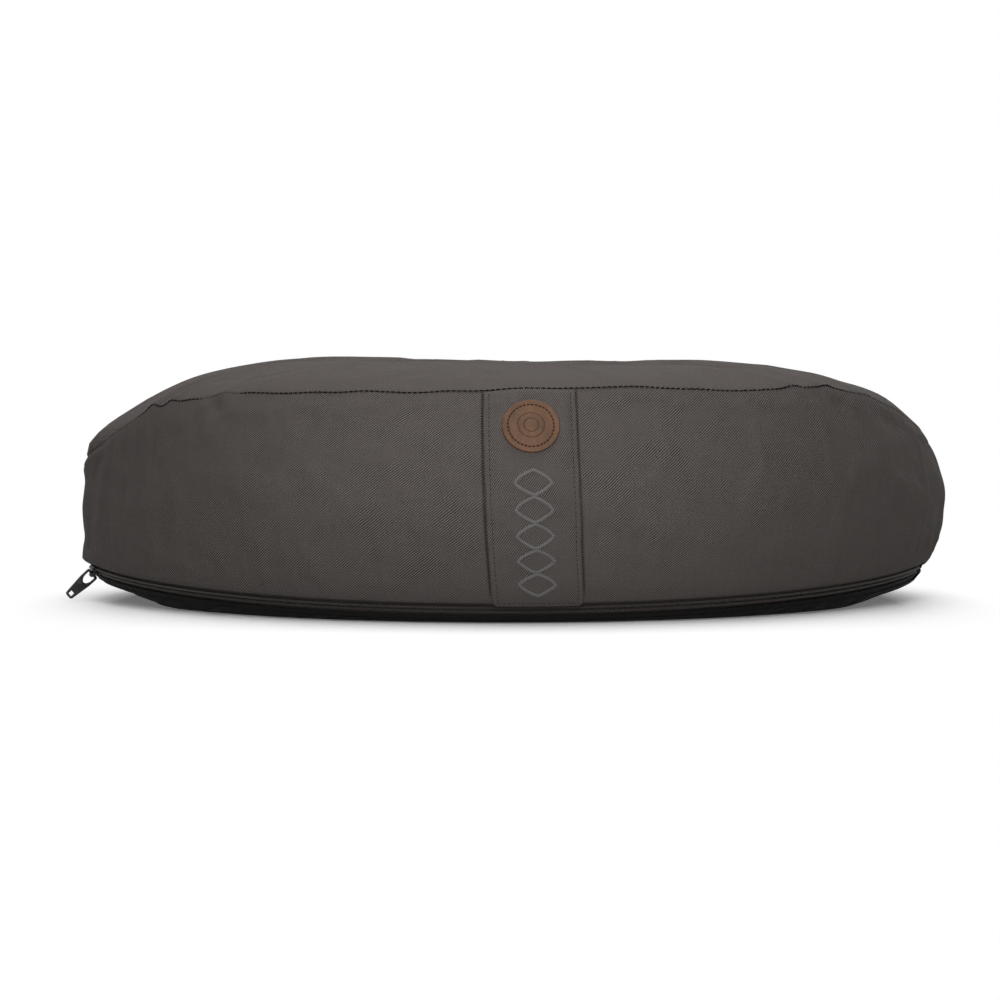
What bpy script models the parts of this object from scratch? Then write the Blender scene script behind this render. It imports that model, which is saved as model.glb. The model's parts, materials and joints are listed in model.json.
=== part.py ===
"""Half-moon meditation cushion, filled with buckwheat hulls.

A boxed cover of four cloth panels closes with a coil zip along the foot of its bowed front wall.
It holds an inner bag, and the bag holds the hulls. A sewn carry band with a leather patch and a
row of embroidery runs down the middle of the front.

Metres, +Z up, -Y is the bowed front, and the origin lies on the flat underside.
"""

import math

import bmesh
import bpy
import numpy as np
from mathutils import Vector

# Plan of the cover, along its seams
SEAM_WIDTH = 0.435
SEAM_DEPTH = 0.228
HORN_RADIUS = 0.055
BACK_HOLLOW = 0.028

# Heights of the top seam, and the rise of the top panel above it
SEAM_HEIGHT = 0.1125
BACK_SEAM_HEIGHT = 0.106
LEFT_DROOP = 0.044
RIGHT_DROOP = 0.031
DROOP_REACH = 0.187
CROWN = 0.0125
SHOULDER = 5.0

# Unevenness of the stuffed cover: rises along the top seam, and across the crown
SEAM_RISES = (
    (-0.31, 0.0), (-0.24, -0.0037), (-0.168, -0.0042), (-0.148, -0.0018), (-0.09, -0.0011),
    (-0.03, -0.001), (0.03, 0.0008), (0.065, 0.0013), (0.125, 0.0001), (0.18, 0.0018),
    (0.24, 0.002), (0.31, 0.0012), (0.37, 0.0),
)
CROWN_RISES = (
    (-0.212, 0.002), (-0.19, 0.0), (-0.1, -0.0005), (-0.05, -0.0016), (0.0, -0.0028), (0.03, -0.0036),
    (0.06, -0.003), (0.1, -0.0023), (0.14, -0.0024), (0.17, -0.0008), (0.195, 0.0022), (0.215, 0.0),
)
CROWN_RIM = 10.0

# The top panel bellies out over its seam round the left horn, and the foot seam lies further in there
BELLY = 0.0055
BELLY_MIDDLE = -0.305
BELLY_REACH = 0.075
BELLY_SHARE = 0.035
LEFT_TUCK = 0.0027

# How far the wall swells out past the top seam
FRONT_SWELL = 0.0205
RIGHT_SWELL = 0.011
BACK_SWELL = 0.009
LEFT_SWELL = 0.0032

# Cloth, and the gap that lies between two pieces
GAP = 0.0003
COVER_CLOTH = 0.0012
BAG_CLOTH = 0.0006
BAG_SLACK = 0.0023
BAG_HEADROOM = 0.0014
ROLL_START = 0.003
ROLL_SLOPE = 0.8

# Zip: its centre line is one circular arc in a plane that rises towards the back
ZIP_HEIGHT = 0.0075
ZIP_TILT = math.radians(3.4)
ZIP_FACING = math.radians(40.0)
ZIP_SETBACK = 0.001
ZIP_OPEN_HALF = 0.0045
ZIP_END_MARGIN = 0.0055
HEM = 0.003
HEM_CLOSING = 0.012
TAPE_THICKNESS = 0.0005
TAPE_SHY = 0.0005
COIL_WIDTH = 0.0018
COIL_HEIGHT = 0.0016
CHAIN_SLIT = 0.001

# Slider and pull
SLIDER_LENGTH = 0.0085
SLIDER_WALL = 0.0008
SLIDER_POST = 0.0004
SLIDER_END_MARGIN = 0.0002
BAIL_WIDTH = 0.0016
BAIL_WALL = 0.0008
BAIL_OPENING = 0.0036
PULL_PIN = 0.0012
PULL_LENGTH = 0.0172
PULL_ROOT_WIDTH = 0.0071
PULL_TIP_WIDTH = 0.0044
PULL_THICKNESS = 0.0012
PULL_WINDOW = 0.0058
PULL_RIM = 0.0012
PULL_TIP_HOLE = 0.0014
PULL_PLAY = 0.0004
PULL_CORNER = 0.0009

# Carry band, leather patch and embroidery
BAND_WIDTH = 0.044
BAND_CLOTH = 0.0014
BAND_X = 0.011
BAND_SLANT = 0.0042
BAND_CORNER = 0.0036
BAND_TOP_DROP = 0.002
BAND_STITCH_INSET = 0.0022
PATCH_DIAMETER = 0.027
PATCH_THICKNESS = 0.0016
PATCH_DROP = 0.0212
PATCH_STITCH_INSET = 0.0028
MOTIF_COUNT = 5
MOTIF_WIDTH = 0.0185
MOTIF_LENGTH = 0.0126
MOTIF_LINE = 0.0016
MOTIF_NECK = 0.0022
MOTIF_RELIEF = 0.0006
MOTIF_DROP = 0.0425
EMBROIDERY_MERGE = 1e-6
THREAD_RADIUS = 0.0004
FINE_THREAD_RADIUS = 0.00025

# How finely the shapes are divided
FRONT_STEPS = 44
CORNER_STEPS = 11
BACK_STEPS = 16
WALL_STEPS = (0.0, 0.1, 0.25, 0.45, 0.65, 0.83, 1.0)
TOP_RINGS = (1.0, 0.98, 0.95, 0.9, 0.82, 0.7, 0.5, 0.3, 0.15)
ROLL_STEPS = (0.3, 0.55, 0.8, 1.0)
BAG_WALL_STEPS = (0.25, 0.5, 0.75)
BAG_RINGS = (1.0, 0.94, 0.84, 0.65, 0.4, 0.2)
BAND_FOOT_STEPS = (0.0, 0.14, 0.45, 1.0)
BAND_ACROSS_STEPS = 6
PATCH_RINGS = (0.66, 0.33)
PATCH_SIDES = 24
WIDEST_STEPS = 2
PROBE_STEP = 1e-4
DROP_SAMPLES = 101
WINDOW_CHAMFER = 0.3
SMOOTH_ANGLE = math.radians(40.0)

# Sizes that follow from the plan
HORN_X = SEAM_WIDTH / 2 - HORN_RADIUS
HORN_REACH = SEAM_DEPTH - HORN_RADIUS
FRONT_RADIUS = (HORN_X ** 2 + HORN_REACH ** 2 - HORN_RADIUS ** 2) / (2 * (HORN_REACH - HORN_RADIUS))
FRONT_Y = -SEAM_DEPTH / 2
FRONT_CENTRE_Y = FRONT_Y + FRONT_RADIUS
HORN_Y = FRONT_Y + HORN_REACH
FRONT_ANGLE = math.atan2(HORN_X, FRONT_CENTRE_Y - HORN_Y)
BACK_RADIUS = (HORN_X ** 2 + BACK_HOLLOW ** 2) / (2 * BACK_HOLLOW) - HORN_RADIUS
BACK_CENTRE_Y = FRONT_Y + SEAM_DEPTH - BACK_HOLLOW + BACK_RADIUS
BACK_ANGLE = math.asin(HORN_X / (BACK_RADIUS + HORN_RADIUS))
FRONT_END = FRONT_RADIUS * FRONT_ANGLE
HORN_END = FRONT_END + HORN_RADIUS * (math.pi + BACK_ANGLE - FRONT_ANGLE)
BACK_END = HORN_END + BACK_RADIUS * BACK_ANGLE
WIDEST = FRONT_END + HORN_RADIUS * (math.pi / 2 - FRONT_ANGLE)
HORN_MIDDLE = (FRONT_END + HORN_END) / 2
TOP_HEIGHT = SEAM_HEIGHT + CROWN

# Levels across the zip, measured out from the outer face of its tape
CLOTH_FACE = GAP + COVER_CLOTH
COIL_TOP = GAP + COIL_HEIGHT
CHAIN_HALF = CHAIN_SLIT / 2 + COIL_WIDTH
PLATE_LOW = COIL_TOP + GAP
PLATE_HIGH = PLATE_LOW + SLIDER_WALL
CHEEK_INNER = CHAIN_HALF + GAP
SLIDER_HALF = CHEEK_INNER + SLIDER_WALL
BACKPLATE_HIGH = -TAPE_THICKNESS - GAP
BACKPLATE_LOW = BACKPLATE_HIGH - SLIDER_WALL
PIN_LEVEL = PLATE_HIGH + PULL_PIN / 2 + PULL_PLAY
BAIL_INNER_TOP = PIN_LEVEL + PULL_PIN / 2 + PULL_PLAY
BAG_FACE = BACKPLATE_LOW - 2 * GAP
BAG_TOP_DROP = COVER_CLOTH + BAG_HEADROOM
ZIP_RADIUS = FRONT_RADIUS - ZIP_SETBACK
ZIP_CENTRE = np.array([0.0, FRONT_CENTRE_Y, ZIP_HEIGHT + ZIP_RADIUS * math.sin(ZIP_TILT)])
ZIP_AXIS = np.array([0.0, -math.sin(ZIP_TILT), math.cos(ZIP_TILT)])
ZIP_END = FRONT_END - ZIP_END_MARGIN
SLIDER_REST = -(ZIP_END - SLIDER_LENGTH / 2 - SLIDER_END_MARGIN)
BAND_FOOT = SLIDER_HALF + 2 * GAP
BAND_FACE = GAP + BAND_CLOTH

COLOURS = {
    "twill": (0.062, 0.056, 0.056),
    "underside": (0.012, 0.011, 0.011),
    "seam_thread": (0.014, 0.013, 0.014),
    "band": (0.068, 0.062, 0.063),
    "leather": (0.30, 0.155, 0.075),
    "patch_thread": (0.075, 0.036, 0.022),
    "ornament_thread": (0.16, 0.15, 0.15),
    "zip_tape": (0.035, 0.033, 0.034),
    "zip_coil": (0.03, 0.029, 0.031),
    "slider_metal": (0.045, 0.045, 0.05),
    "calico": (0.62, 0.57, 0.47),
    "hulls": (0.085, 0.05, 0.03),
}


def unit(vectors):
    """Scale the last axis of an array of vectors to length one."""
    vectors = np.asarray(vectors, dtype=float)
    return vectors / np.linalg.norm(vectors, axis=-1, keepdims=True)


def outline(s):
    """Plan point and outward normal of the seam at distance s from the middle of the front.

    The outline is a bowed front arc, two round horns and a hollow back arc, tangent to each other.
    """
    side = 1.0 if s >= 0 else -1.0
    run = abs(s)
    if run <= HORN_END:
        on_front = run <= FRONT_END
        radius = FRONT_RADIUS if on_front else HORN_RADIUS
        centre = (0.0, FRONT_CENTRE_Y) if on_front else (HORN_X, HORN_Y)
        angle = run / FRONT_RADIUS if on_front else FRONT_ANGLE + (run - FRONT_END) / HORN_RADIUS
        normal = (math.sin(angle), -math.cos(angle))
        point = (centre[0] + radius * normal[0], centre[1] + radius * normal[1])
    else:
        angle = (BACK_END - run) / BACK_RADIUS
        normal = (-math.sin(angle), math.cos(angle))
        point = (BACK_RADIUS * math.sin(angle), BACK_CENTRE_Y - BACK_RADIUS * math.cos(angle))
    return np.array([side * point[0], point[1], 0.0]), np.array([side * normal[0], normal[1], 0.0])


def ease(share):
    """Smooth step from 0 to 1."""
    share = min(max(share, 0.0), 1.0)
    return 0.5 - 0.5 * math.cos(math.pi * share)


def rise_at(place, rises):
    """Rise at a place, easing from each chosen (place, rise) point to the next."""
    for (before, low), (after, high) in zip(rises, rises[1:]):
        if before <= place <= after:
            return low + (high - low) * ease((place - before) / (after - before))
    return rises[0][1] if place < rises[0][0] else rises[-1][1]


def around(s, front, side, back):
    """Value at distance s, easing from the front's middle to the widest point to the back's middle."""
    run = abs(s)
    if run <= WIDEST:
        return front + (side - front) * ease(run / WIDEST)
    return side + (back - side) * ease((run - WIDEST) / (BACK_END - WIDEST))


def swell(s):
    """How far the wall swells out at distance s."""
    return around(s, FRONT_SWELL, RIGHT_SWELL if s >= 0 else LEFT_SWELL, BACK_SWELL)


def top_seam_height(s):
    """Height of the top seam, which droops round each horn and is a little uneven."""
    level = around(s, SEAM_HEIGHT, (SEAM_HEIGHT + BACK_SEAM_HEIGHT) / 2, BACK_SEAM_HEIGHT)
    droop = RIGHT_DROOP if s >= 0 else LEFT_DROOP
    drooped = level - droop * (1.0 - ease(abs(abs(s) - HORN_MIDDLE) / DROOP_REACH))
    return drooped + rise_at(s, SEAM_RISES)


def belly(s, share):
    """How far the top panel bellies out, most a little in from its seam round the left horn."""
    steps = (1 - share) / BELLY_SHARE
    near = 1 - ease(abs(s - BELLY_MIDDLE) / BELLY_REACH)
    return BELLY * near * steps * math.exp(1 - steps)


def tuck(s):
    """How much further in the foot seam lies round the left horn."""
    grown = ease((-s - FRONT_END) / (WIDEST - FRONT_END))
    return LEFT_TUCK * grown * ease((BACK_END - abs(s)) / (BACK_END - HORN_END))


def seam_frame(s):
    """Point on the foot seam, with the directions across it (up and out) and out of it.

    In front the points lie on the zip's arc. Round the horns and the back they keep to its plane.
    """
    point, normal = outline(s)
    radial = np.array([normal[0], normal[1] * math.cos(ZIP_TILT), normal[1] * math.sin(ZIP_TILT)])
    if abs(s) <= FRONT_END:
        origin = ZIP_CENTRE + ZIP_RADIUS * radial
    else:
        origin = point - normal * (ZIP_SETBACK + tuck(s))
        origin[2] = ZIP_CENTRE[2] + (origin[1] - FRONT_CENTRE_Y) * math.tan(ZIP_TILT)
    across = math.sin(ZIP_FACING) * radial + math.cos(ZIP_FACING) * ZIP_AXIS
    facing = math.cos(ZIP_FACING) * radial - math.sin(ZIP_FACING) * ZIP_AXIS
    return origin, across, facing


def hem_half(s):
    """Half the width that the two hems leave open: the zip's in front, and a shut seam elsewhere."""
    return ZIP_OPEN_HALF + (GAP / 2 - ZIP_OPEN_HALF) * ease((abs(s) - FRONT_END) / HEM_CLOSING)


def hem_point(s, across_by, out_by):
    """Point at a distance across the foot seam and out of it."""
    origin, across, facing = seam_frame(s)
    return origin + across * across_by + facing * out_by


def wall_point(s, share):
    """Point on the wall's outer face, from the hem's top edge (0) to the top seam (1)."""
    point, normal = outline(s)
    low = hem_point(s, hem_half(s) + HEM, CLOTH_FACE)
    high = point + np.array([0.0, 0.0, top_seam_height(s)])
    bow = swell(s) - (low - point) @ normal / 2
    return low + (high - low) * share + normal * (bow * 4 * share * (1 - share))


def wall_normal(s, share):
    """Outward normal of the wall's outer face."""
    up = wall_point(s, share + PROBE_STEP) - wall_point(s, share - PROBE_STEP)
    along = wall_point(s + PROBE_STEP, share) - wall_point(s - PROBE_STEP, share)
    return unit(np.cross(along, up))


def wall_profile(s):
    """Outer points of the wall at distance s, from the hem's lower edge to the top seam."""
    hem = hem_point(s, hem_half(s), CLOTH_FACE)
    return np.array([hem] + [wall_point(s, share) for share in WALL_STEPS])


def profile_normals(s, points):
    """Outward normals of a profile of points at distance s, in the plane across the seam."""
    outward = outline(s)[1]
    along = np.array([-outward[1], outward[0], 0.0])
    return unit(np.cross(along, np.gradient(points, axis=0)))


def wall_section(s):
    """Closed section of the wall: its outer points up, then its inner points down."""
    outer = wall_profile(s)
    normals = profile_normals(s, outer)
    facing = seam_frame(s)[2]
    normals[0] = facing
    normals[1] = facing
    return np.vstack([outer, (outer - normals * COVER_CLOTH)[::-1]])


def stations(start, end, steps):
    """Distances from start to end in equal steps, both ends included."""
    return [start + (end - start) * i / steps for i in range(steps + 1)]


def half_stations():
    """Distances from the front's middle round the right horn to the back's middle."""
    front = stations(0.0, FRONT_END, FRONT_STEPS // 2)
    near = stations(FRONT_END, WIDEST, WIDEST_STEPS)[1:]
    far = stations(WIDEST, HORN_END, CORNER_STEPS - WIDEST_STEPS)[1:]
    back = stations(HORN_END, BACK_END, BACK_STEPS // 2)[1:]
    return front + near + far + back


def loop_stations(every=1):
    """Distances all the way round, from the left side of the back through the front."""
    half = half_stations()[::every]
    if half[-1] < BACK_END:
        half.append(BACK_END)
    return [-s for s in half[:0:-1]] + half[:-1]


def top_rings(loop, rings, inset, drop):
    """Rings of a domed panel: the seam's outline drawn in towards the middle as the panel rises."""
    made = []
    for share in rings:
        ring = []
        for s in loop:
            point, normal = outline(s)
            plan = (point - normal * inset) * share + normal * belly(s, share)
            rise = (TOP_HEIGHT - top_seam_height(s)) * (1 - share ** SHOULDER)
            rise += rise_at(plan[0], CROWN_RISES) * (1 - share ** CROWN_RIM)
            plan[2] = top_seam_height(s) + rise + CLOTH_FACE - drop
            ring.append(plan)
        made.append(np.array(ring))
    centre = np.array([0.0, 0.0, TOP_HEIGHT + rise_at(0.0, CROWN_RISES) + CLOTH_FACE - drop])
    return made, centre


def roll_profile(s, start, base_height):
    """Points of a quarter of an ellipse, from start down and in to the flat base."""
    normal = outline(s)[1]
    rise = start[2] - base_height
    roll = ROLL_START + ROLL_SLOPE * rise
    points = [start]
    for share in ROLL_STEPS:
        angle = share * math.pi / 2
        point = start - normal * (roll * (1 - math.cos(angle)))
        point[2] = base_height + rise * (1 - math.sin(angle))
        points.append(point)
    return np.array(points)


def shifted(s, profile, distance):
    """Move a rolling profile's points off its face, straight up where it lies flat."""
    normals = -profile_normals(s, profile)
    normals[-1] = (0.0, 0.0, -1.0)
    return profile - normals * distance


def finish_mesh(name, builder, material):
    """Turn a bmesh into an object with outward faces, its material and smooth shading."""
    bmesh.ops.recalc_face_normals(builder, faces=builder.faces[:])
    mesh = bpy.data.meshes.new(name)
    builder.to_mesh(mesh)
    builder.free()
    mesh.shade_smooth()
    mesh.set_sharp_from_angle(angle=SMOOTH_ANGLE)
    mesh.materials.append(material)
    item = bpy.data.objects.new(name, mesh)
    bpy.context.collection.objects.link(item)
    return item


def skin(builder, rows, cyclic=False):
    """Join each closed row of points to the next, each cell split along the same diagonal.

    Nested sheets are split alike, so their facets stay parallel and apart.
    """
    pairs = list(zip(rows, rows[1:]))
    if cyclic:
        pairs.append((rows[-1], rows[0]))
    count = len(rows[0])
    for row, following in pairs:
        for i in range(count):
            j = (i + 1) % count
            builder.faces.new((row[i], row[j], following[j]))
            builder.faces.new((row[i], following[j], following[i]))


def loft(name, sections, material, cyclic=False):
    """Closed body through matching closed sections, capped at both ends unless it is cyclic."""
    builder = bmesh.new()
    rows = [[builder.verts.new(point) for point in section] for section in sections]
    skin(builder, rows, cyclic)
    if not cyclic:
        builder.faces.new(rows[0])
        builder.faces.new(rows[-1])
    return finish_mesh(name, builder, material)


def dished(name, outer, inner, outer_tip, inner_tip, material):
    """Closed sheet between two stacks of rings. A stack ends in a tip point, or flat without one."""
    builder = bmesh.new()
    rims = []
    for rings, tip in ((outer, outer_tip), (inner, inner_tip)):
        rows = [[builder.verts.new(point) for point in ring] for ring in rings]
        skin(builder, rows)
        if tip is None:
            builder.faces.new(rows[-1])
        else:
            peak = builder.verts.new(tip)
            for first, second in zip(rows[-1], rows[-1][1:] + rows[-1][:1]):
                builder.faces.new((first, second, peak))
        rims.append(rows[0])
    skin(builder, rims)
    return finish_mesh(name, builder, material)


def thread(name, points, radius, material, cyclic):
    """Round thread along a path of points."""
    curve = bpy.data.curves.new(name, "CURVE")
    curve.dimensions = "3D"
    curve.bevel_depth = radius
    curve.bevel_resolution = 1
    curve.use_fill_caps = not cyclic
    spline = curve.splines.new("POLY")
    spline.points.add(len(points) - 1)
    for target, point in zip(spline.points, points):
        target.co = (*point, 1.0)
    spline.use_cyclic_u = cyclic
    curve.materials.append(material)
    item = bpy.data.objects.new(name, curve)
    bpy.context.collection.objects.link(item)
    return item


def make_materials():
    """One Principled material for each finish."""
    finishes = {}
    for name, colour in COLOURS.items():
        material = bpy.data.materials.new(name)
        material.use_nodes = True
        shader = material.node_tree.nodes["Principled BSDF"]
        shader.inputs["Base Color"].default_value = (*colour, 1.0)
        metal = name == "slider_metal"
        shader.inputs["Metallic"].default_value = 0.3 if metal else 0.0
        shader.inputs["Roughness"].default_value = 0.45 if metal else 0.55 if name == "leather" else 0.9
        finishes[name] = material
    return finishes


def make_cover(finishes):
    """Top panel, front and back walls, bottom panel, and the threads of their seams."""
    loop = loop_stations()
    outer, outer_tip = top_rings(loop, TOP_RINGS, 0.0, 0.0)
    inner, inner_tip = top_rings(loop, TOP_RINGS, 0.0, COVER_CLOTH)
    dished("top_panel", outer, inner, outer_tip, inner_tip, finishes["twill"])

    half_gap = GAP / 2
    front = [s for s in loop if abs(s) < WIDEST - half_gap]
    front = [-WIDEST + half_gap] + front + [WIDEST - half_gap]
    loft("front_wall", [wall_section(s) for s in front], finishes["twill"])
    beyond = [s for s in half_stations() if s > WIDEST + half_gap]
    back = [WIDEST + half_gap] + beyond + [-s for s in beyond[-2::-1]] + [-WIDEST - half_gap]
    loft("back_wall", [wall_section(s) for s in back], finishes["twill"])

    lower, upper = [], []
    for s in loop:
        start = hem_point(s, -hem_half(s) - HEM, CLOTH_FACE)
        rim = hem_point(s, -hem_half(s), CLOTH_FACE)
        facing = seam_frame(s)[2]
        profile = roll_profile(s, start, 0.0)
        lifted = shifted(s, profile, COVER_CLOTH)
        lifted[0] = start - facing * COVER_CLOTH
        lower.append(np.vstack([[rim], profile]))
        upper.append(np.vstack([[rim - facing * COVER_CLOTH], lifted]))
    outer = np.array(lower).transpose(1, 0, 2)
    inner = np.array(upper).transpose(1, 0, 2)
    dished("bottom_panel", outer, inner, None, None, finishes["underside"])

    stand_off = THREAD_RADIUS + 2 * GAP
    top_line = []
    for s in loop:
        point, normal = outline(s)
        level = top_seam_height(s) + GAP / 2
        top_line.append(point + normal * stand_off + np.array([0.0, 0.0, level]))
    thread("top_seam_thread", top_line, THREAD_RADIUS, finishes["seam_thread"], True)
    shut = FRONT_END + HEM_CLOSING
    far = [s for s in half_stations() if s > shut]
    path = [shut] + far + [-s for s in far[-2::-1]] + [-shut]
    level = CLOTH_FACE + GAP + THREAD_RADIUS
    foot_line = [hem_point(s, 0.0, level) for s in path]
    thread("foot_seam_thread", foot_line, THREAD_RADIUS, finishes["seam_thread"], False)


def bag_wall(s, depth):
    """Points of the bag's wall at distance s, with depth counted in from its outer face."""
    facing = seam_frame(s)[2]
    low = hem_point(s, -ZIP_OPEN_HALF, BAG_FACE)
    foot = hem_point(s, ZIP_OPEN_HALF, BAG_FACE)
    points = [low - facing * depth, foot - facing * depth]
    for share in BAG_WALL_STEPS:
        points.append(wall_point(s, share) - wall_normal(s, share) * (BAG_SLACK + depth))
    point, normal = outline(s)
    brim = point - normal * (BAG_SLACK + depth)
    brim[2] = top_seam_height(s) + CLOTH_FACE - BAG_TOP_DROP - BAG_CLOTH - GAP
    return np.array(points + [brim])


def bag_floor(s, depth):
    """Points of the bag's underside at distance s, from its seam in to the flat base."""
    start = hem_point(s, -ZIP_OPEN_HALF - GAP, BAG_FACE)
    return shifted(s, roll_profile(s, start, CLOTH_FACE), depth)


def make_filling(finishes):
    """Inner bag of three panels, and the hulls as one body inside it."""
    loop = loop_stations(every=2)
    outer, outer_tip = top_rings(loop, BAG_RINGS, BAG_SLACK, BAG_TOP_DROP)
    inner, inner_tip = top_rings(loop, BAG_RINGS, BAG_SLACK, BAG_TOP_DROP + BAG_CLOTH)
    dished("inner_bag_top", outer, inner, outer_tip, inner_tip, finishes["calico"])
    sections = [np.vstack([bag_wall(s, 0.0), bag_wall(s, BAG_CLOTH)[::-1]]) for s in loop]
    loft("inner_bag_wall", sections, finishes["calico"], cyclic=True)
    outer = np.array([bag_floor(s, 0.0) for s in loop]).transpose(1, 0, 2)
    inner = np.array([bag_floor(s, BAG_CLOTH) for s in loop]).transpose(1, 0, 2)
    dished("inner_bag_bottom", outer, inner, None, None, finishes["calico"])

    depth = BAG_CLOTH + GAP
    headroom = BAG_TOP_DROP + BAG_CLOTH + 2 * GAP
    crown, tip = top_rings(loop, BAG_RINGS, BAG_SLACK + depth, headroom)
    walls = np.array([bag_wall(s, depth) for s in loop]).transpose(1, 0, 2)
    floors = np.array([bag_floor(s, depth) for s in loop]).transpose(1, 0, 2)
    body = [crown[0]] + list(walls[-2::-1]) + list(floors[1:])
    dished("hull_fill", body, crown[1:], None, tip, finishes["hulls"])


def tape_section(s, side):
    """Section of one tape, from the chain's slit to just short of its hem's inner edge."""
    reach = hem_half(s) + HEM - TAPE_SHY
    corners = rectangle(side * CHAIN_SLIT / 2, side * reach, -TAPE_THICKNESS, 0.0)
    return np.array([hem_point(s, a, b) for a, b in corners])


def rectangle(left, right, low, high):
    """Corners of a rectangle."""
    return [(left, low), (right, low), (right, high), (left, high)]


def make_zip(finishes):
    """Two tapes, two coils, the slider and its pull."""
    slit = CHAIN_SLIT / 2
    runs = stations(-FRONT_END, FRONT_END, FRONT_STEPS)
    tucked = FRONT_END + HEM_CLOSING
    taped = [-tucked, -(FRONT_END + tucked) / 2] + runs + [(FRONT_END + tucked) / 2, tucked]
    coiled = stations(-ZIP_END, ZIP_END, FRONT_STEPS)
    bevel = COIL_HEIGHT / 4
    for side, word in ((1, "upper"), (-1, "lower")):
        loft("zip_tape_" + word, [tape_section(s, side) for s in taped], finishes["zip_tape"])
        near, far = side * slit, side * CHAIN_HALF
        rounded = [
            (near, GAP),
            (far - side * bevel, GAP),
            (far, GAP + bevel),
            (far, COIL_TOP - bevel),
            (far - side * bevel, COIL_TOP),
            (near, COIL_TOP),
        ]
        sections = [np.array([hem_point(s, a, b) for a, b in rounded]) for s in coiled]
        loft("zip_coil_" + word, sections, finishes["zip_coil"])
    make_slider(finishes)


def slider_axes():
    """Place of the slider at rest: its point on the arc and the directions along, across and out."""
    origin, across, facing = seam_frame(SLIDER_REST)
    return origin, np.cross(across, facing), across, facing


def placed(points, pivot_level):
    """Move (along, across, out) points to the slider's place, about a pivot at the given level."""
    origin, along, across, facing = slider_axes()
    points = np.asarray(points, dtype=float)
    turned = points[:, :1] * along + points[:, 1:2] * across + (points[:, 2:3] - pivot_level) * facing
    return turned, origin + facing * pivot_level


def plate_outline(half_length, half_width, rounding, sides=4):
    """Rectangle outline with round corners, as (along, across) pairs."""
    points = []
    for quarter, (sx, sy) in enumerate(((1, 1), (-1, 1), (-1, -1), (1, -1))):
        for i in range(sides + 1):
            angle = math.radians(90.0) * (quarter + i / sides)
            x = sx * (half_length - rounding) + rounding * math.cos(angle)
            y = sy * (half_width - rounding) + rounding * math.sin(angle)
            points.append((x, y))
    return points


def prism(name, low, high, pivot_level, material):
    """Closed body between two matching outlines of (along, across, out) points."""
    first, pivot = placed(low, pivot_level)
    second, _ = placed(high, pivot_level)
    item = loft(name, [first, second], material)
    item.location = pivot
    return item


def join_to(target, tool, operation):
    """Apply a Boolean of one object on another and remove the tool."""
    modifier = target.modifiers.new("join", "BOOLEAN")
    modifier.operation = operation
    modifier.object = tool
    bpy.context.view_layer.update()
    evaluated = target.evaluated_get(bpy.context.evaluated_depsgraph_get())
    mesh = bpy.data.meshes.new_from_object(evaluated)
    target.modifiers.clear()
    target.data = mesh
    bpy.data.objects.remove(tool)


def make_slider(finishes):
    """Slider with a plate on each face of the chain, cheeks, a guide post and a bail for the pull."""
    metal = finishes["slider_metal"]
    half = SLIDER_LENGTH / 2
    post = SLIDER_POST / 2
    section = [
        (-SLIDER_HALF, BACKPLATE_LOW),
        (SLIDER_HALF, BACKPLATE_LOW),
        (SLIDER_HALF, BACKPLATE_HIGH),
        (post, BACKPLATE_HIGH),
        (post, PLATE_LOW),
        (CHEEK_INNER, PLATE_LOW),
        (CHEEK_INNER, GAP),
        (SLIDER_HALF, GAP),
        (SLIDER_HALF, PLATE_HIGH),
        (-SLIDER_HALF, PLATE_HIGH),
        (-SLIDER_HALF, GAP),
        (-CHEEK_INNER, GAP),
        (-CHEEK_INNER, PLATE_LOW),
        (-post, PLATE_LOW),
        (-post, BACKPLATE_HIGH),
        (-SLIDER_HALF, BACKPLATE_HIGH),
    ]
    ends = [[(along, a, b) for a, b in section] for along in (-half, half)]
    slider = prism("zip_slider", ends[0], ends[1], 0.0, metal)
    trim_low = BACKPLATE_LOW - SLIDER_WALL
    trim_high = PLATE_HIGH + SLIDER_WALL
    shape = plate_outline(half, SLIDER_HALF, SLIDER_HALF / 2)
    keep = prism(
        "slider_shape",
        [(x, y, trim_low) for x, y in shape],
        [(x, y, trim_high) for x, y in shape],
        0.0,
        metal,
    )
    join_to(slider, keep, "INTERSECT")

    inner = BAIL_OPENING / 2
    reach = inner + BAIL_WALL
    top = BAIL_INNER_TOP + BAIL_WALL
    sunk = PLATE_HIGH - SLIDER_WALL / 4
    arch = [
        (-reach, sunk),
        (-reach, top - BAIL_WALL),
        (-inner, top),
        (inner, top),
        (reach, top - BAIL_WALL),
        (reach, sunk),
        (inner, sunk),
        (inner, BAIL_INNER_TOP),
        (-inner, BAIL_INNER_TOP),
        (-inner, sunk),
    ]
    wide = BAIL_WIDTH / 2
    sides = [[(x, across, z) for x, z in arch] for across in (-wide, wide)]
    bail = prism("bail", sides[0], sides[1], 0.0, metal)
    join_to(slider, bail, "UNION")
    make_pull(metal)


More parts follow.
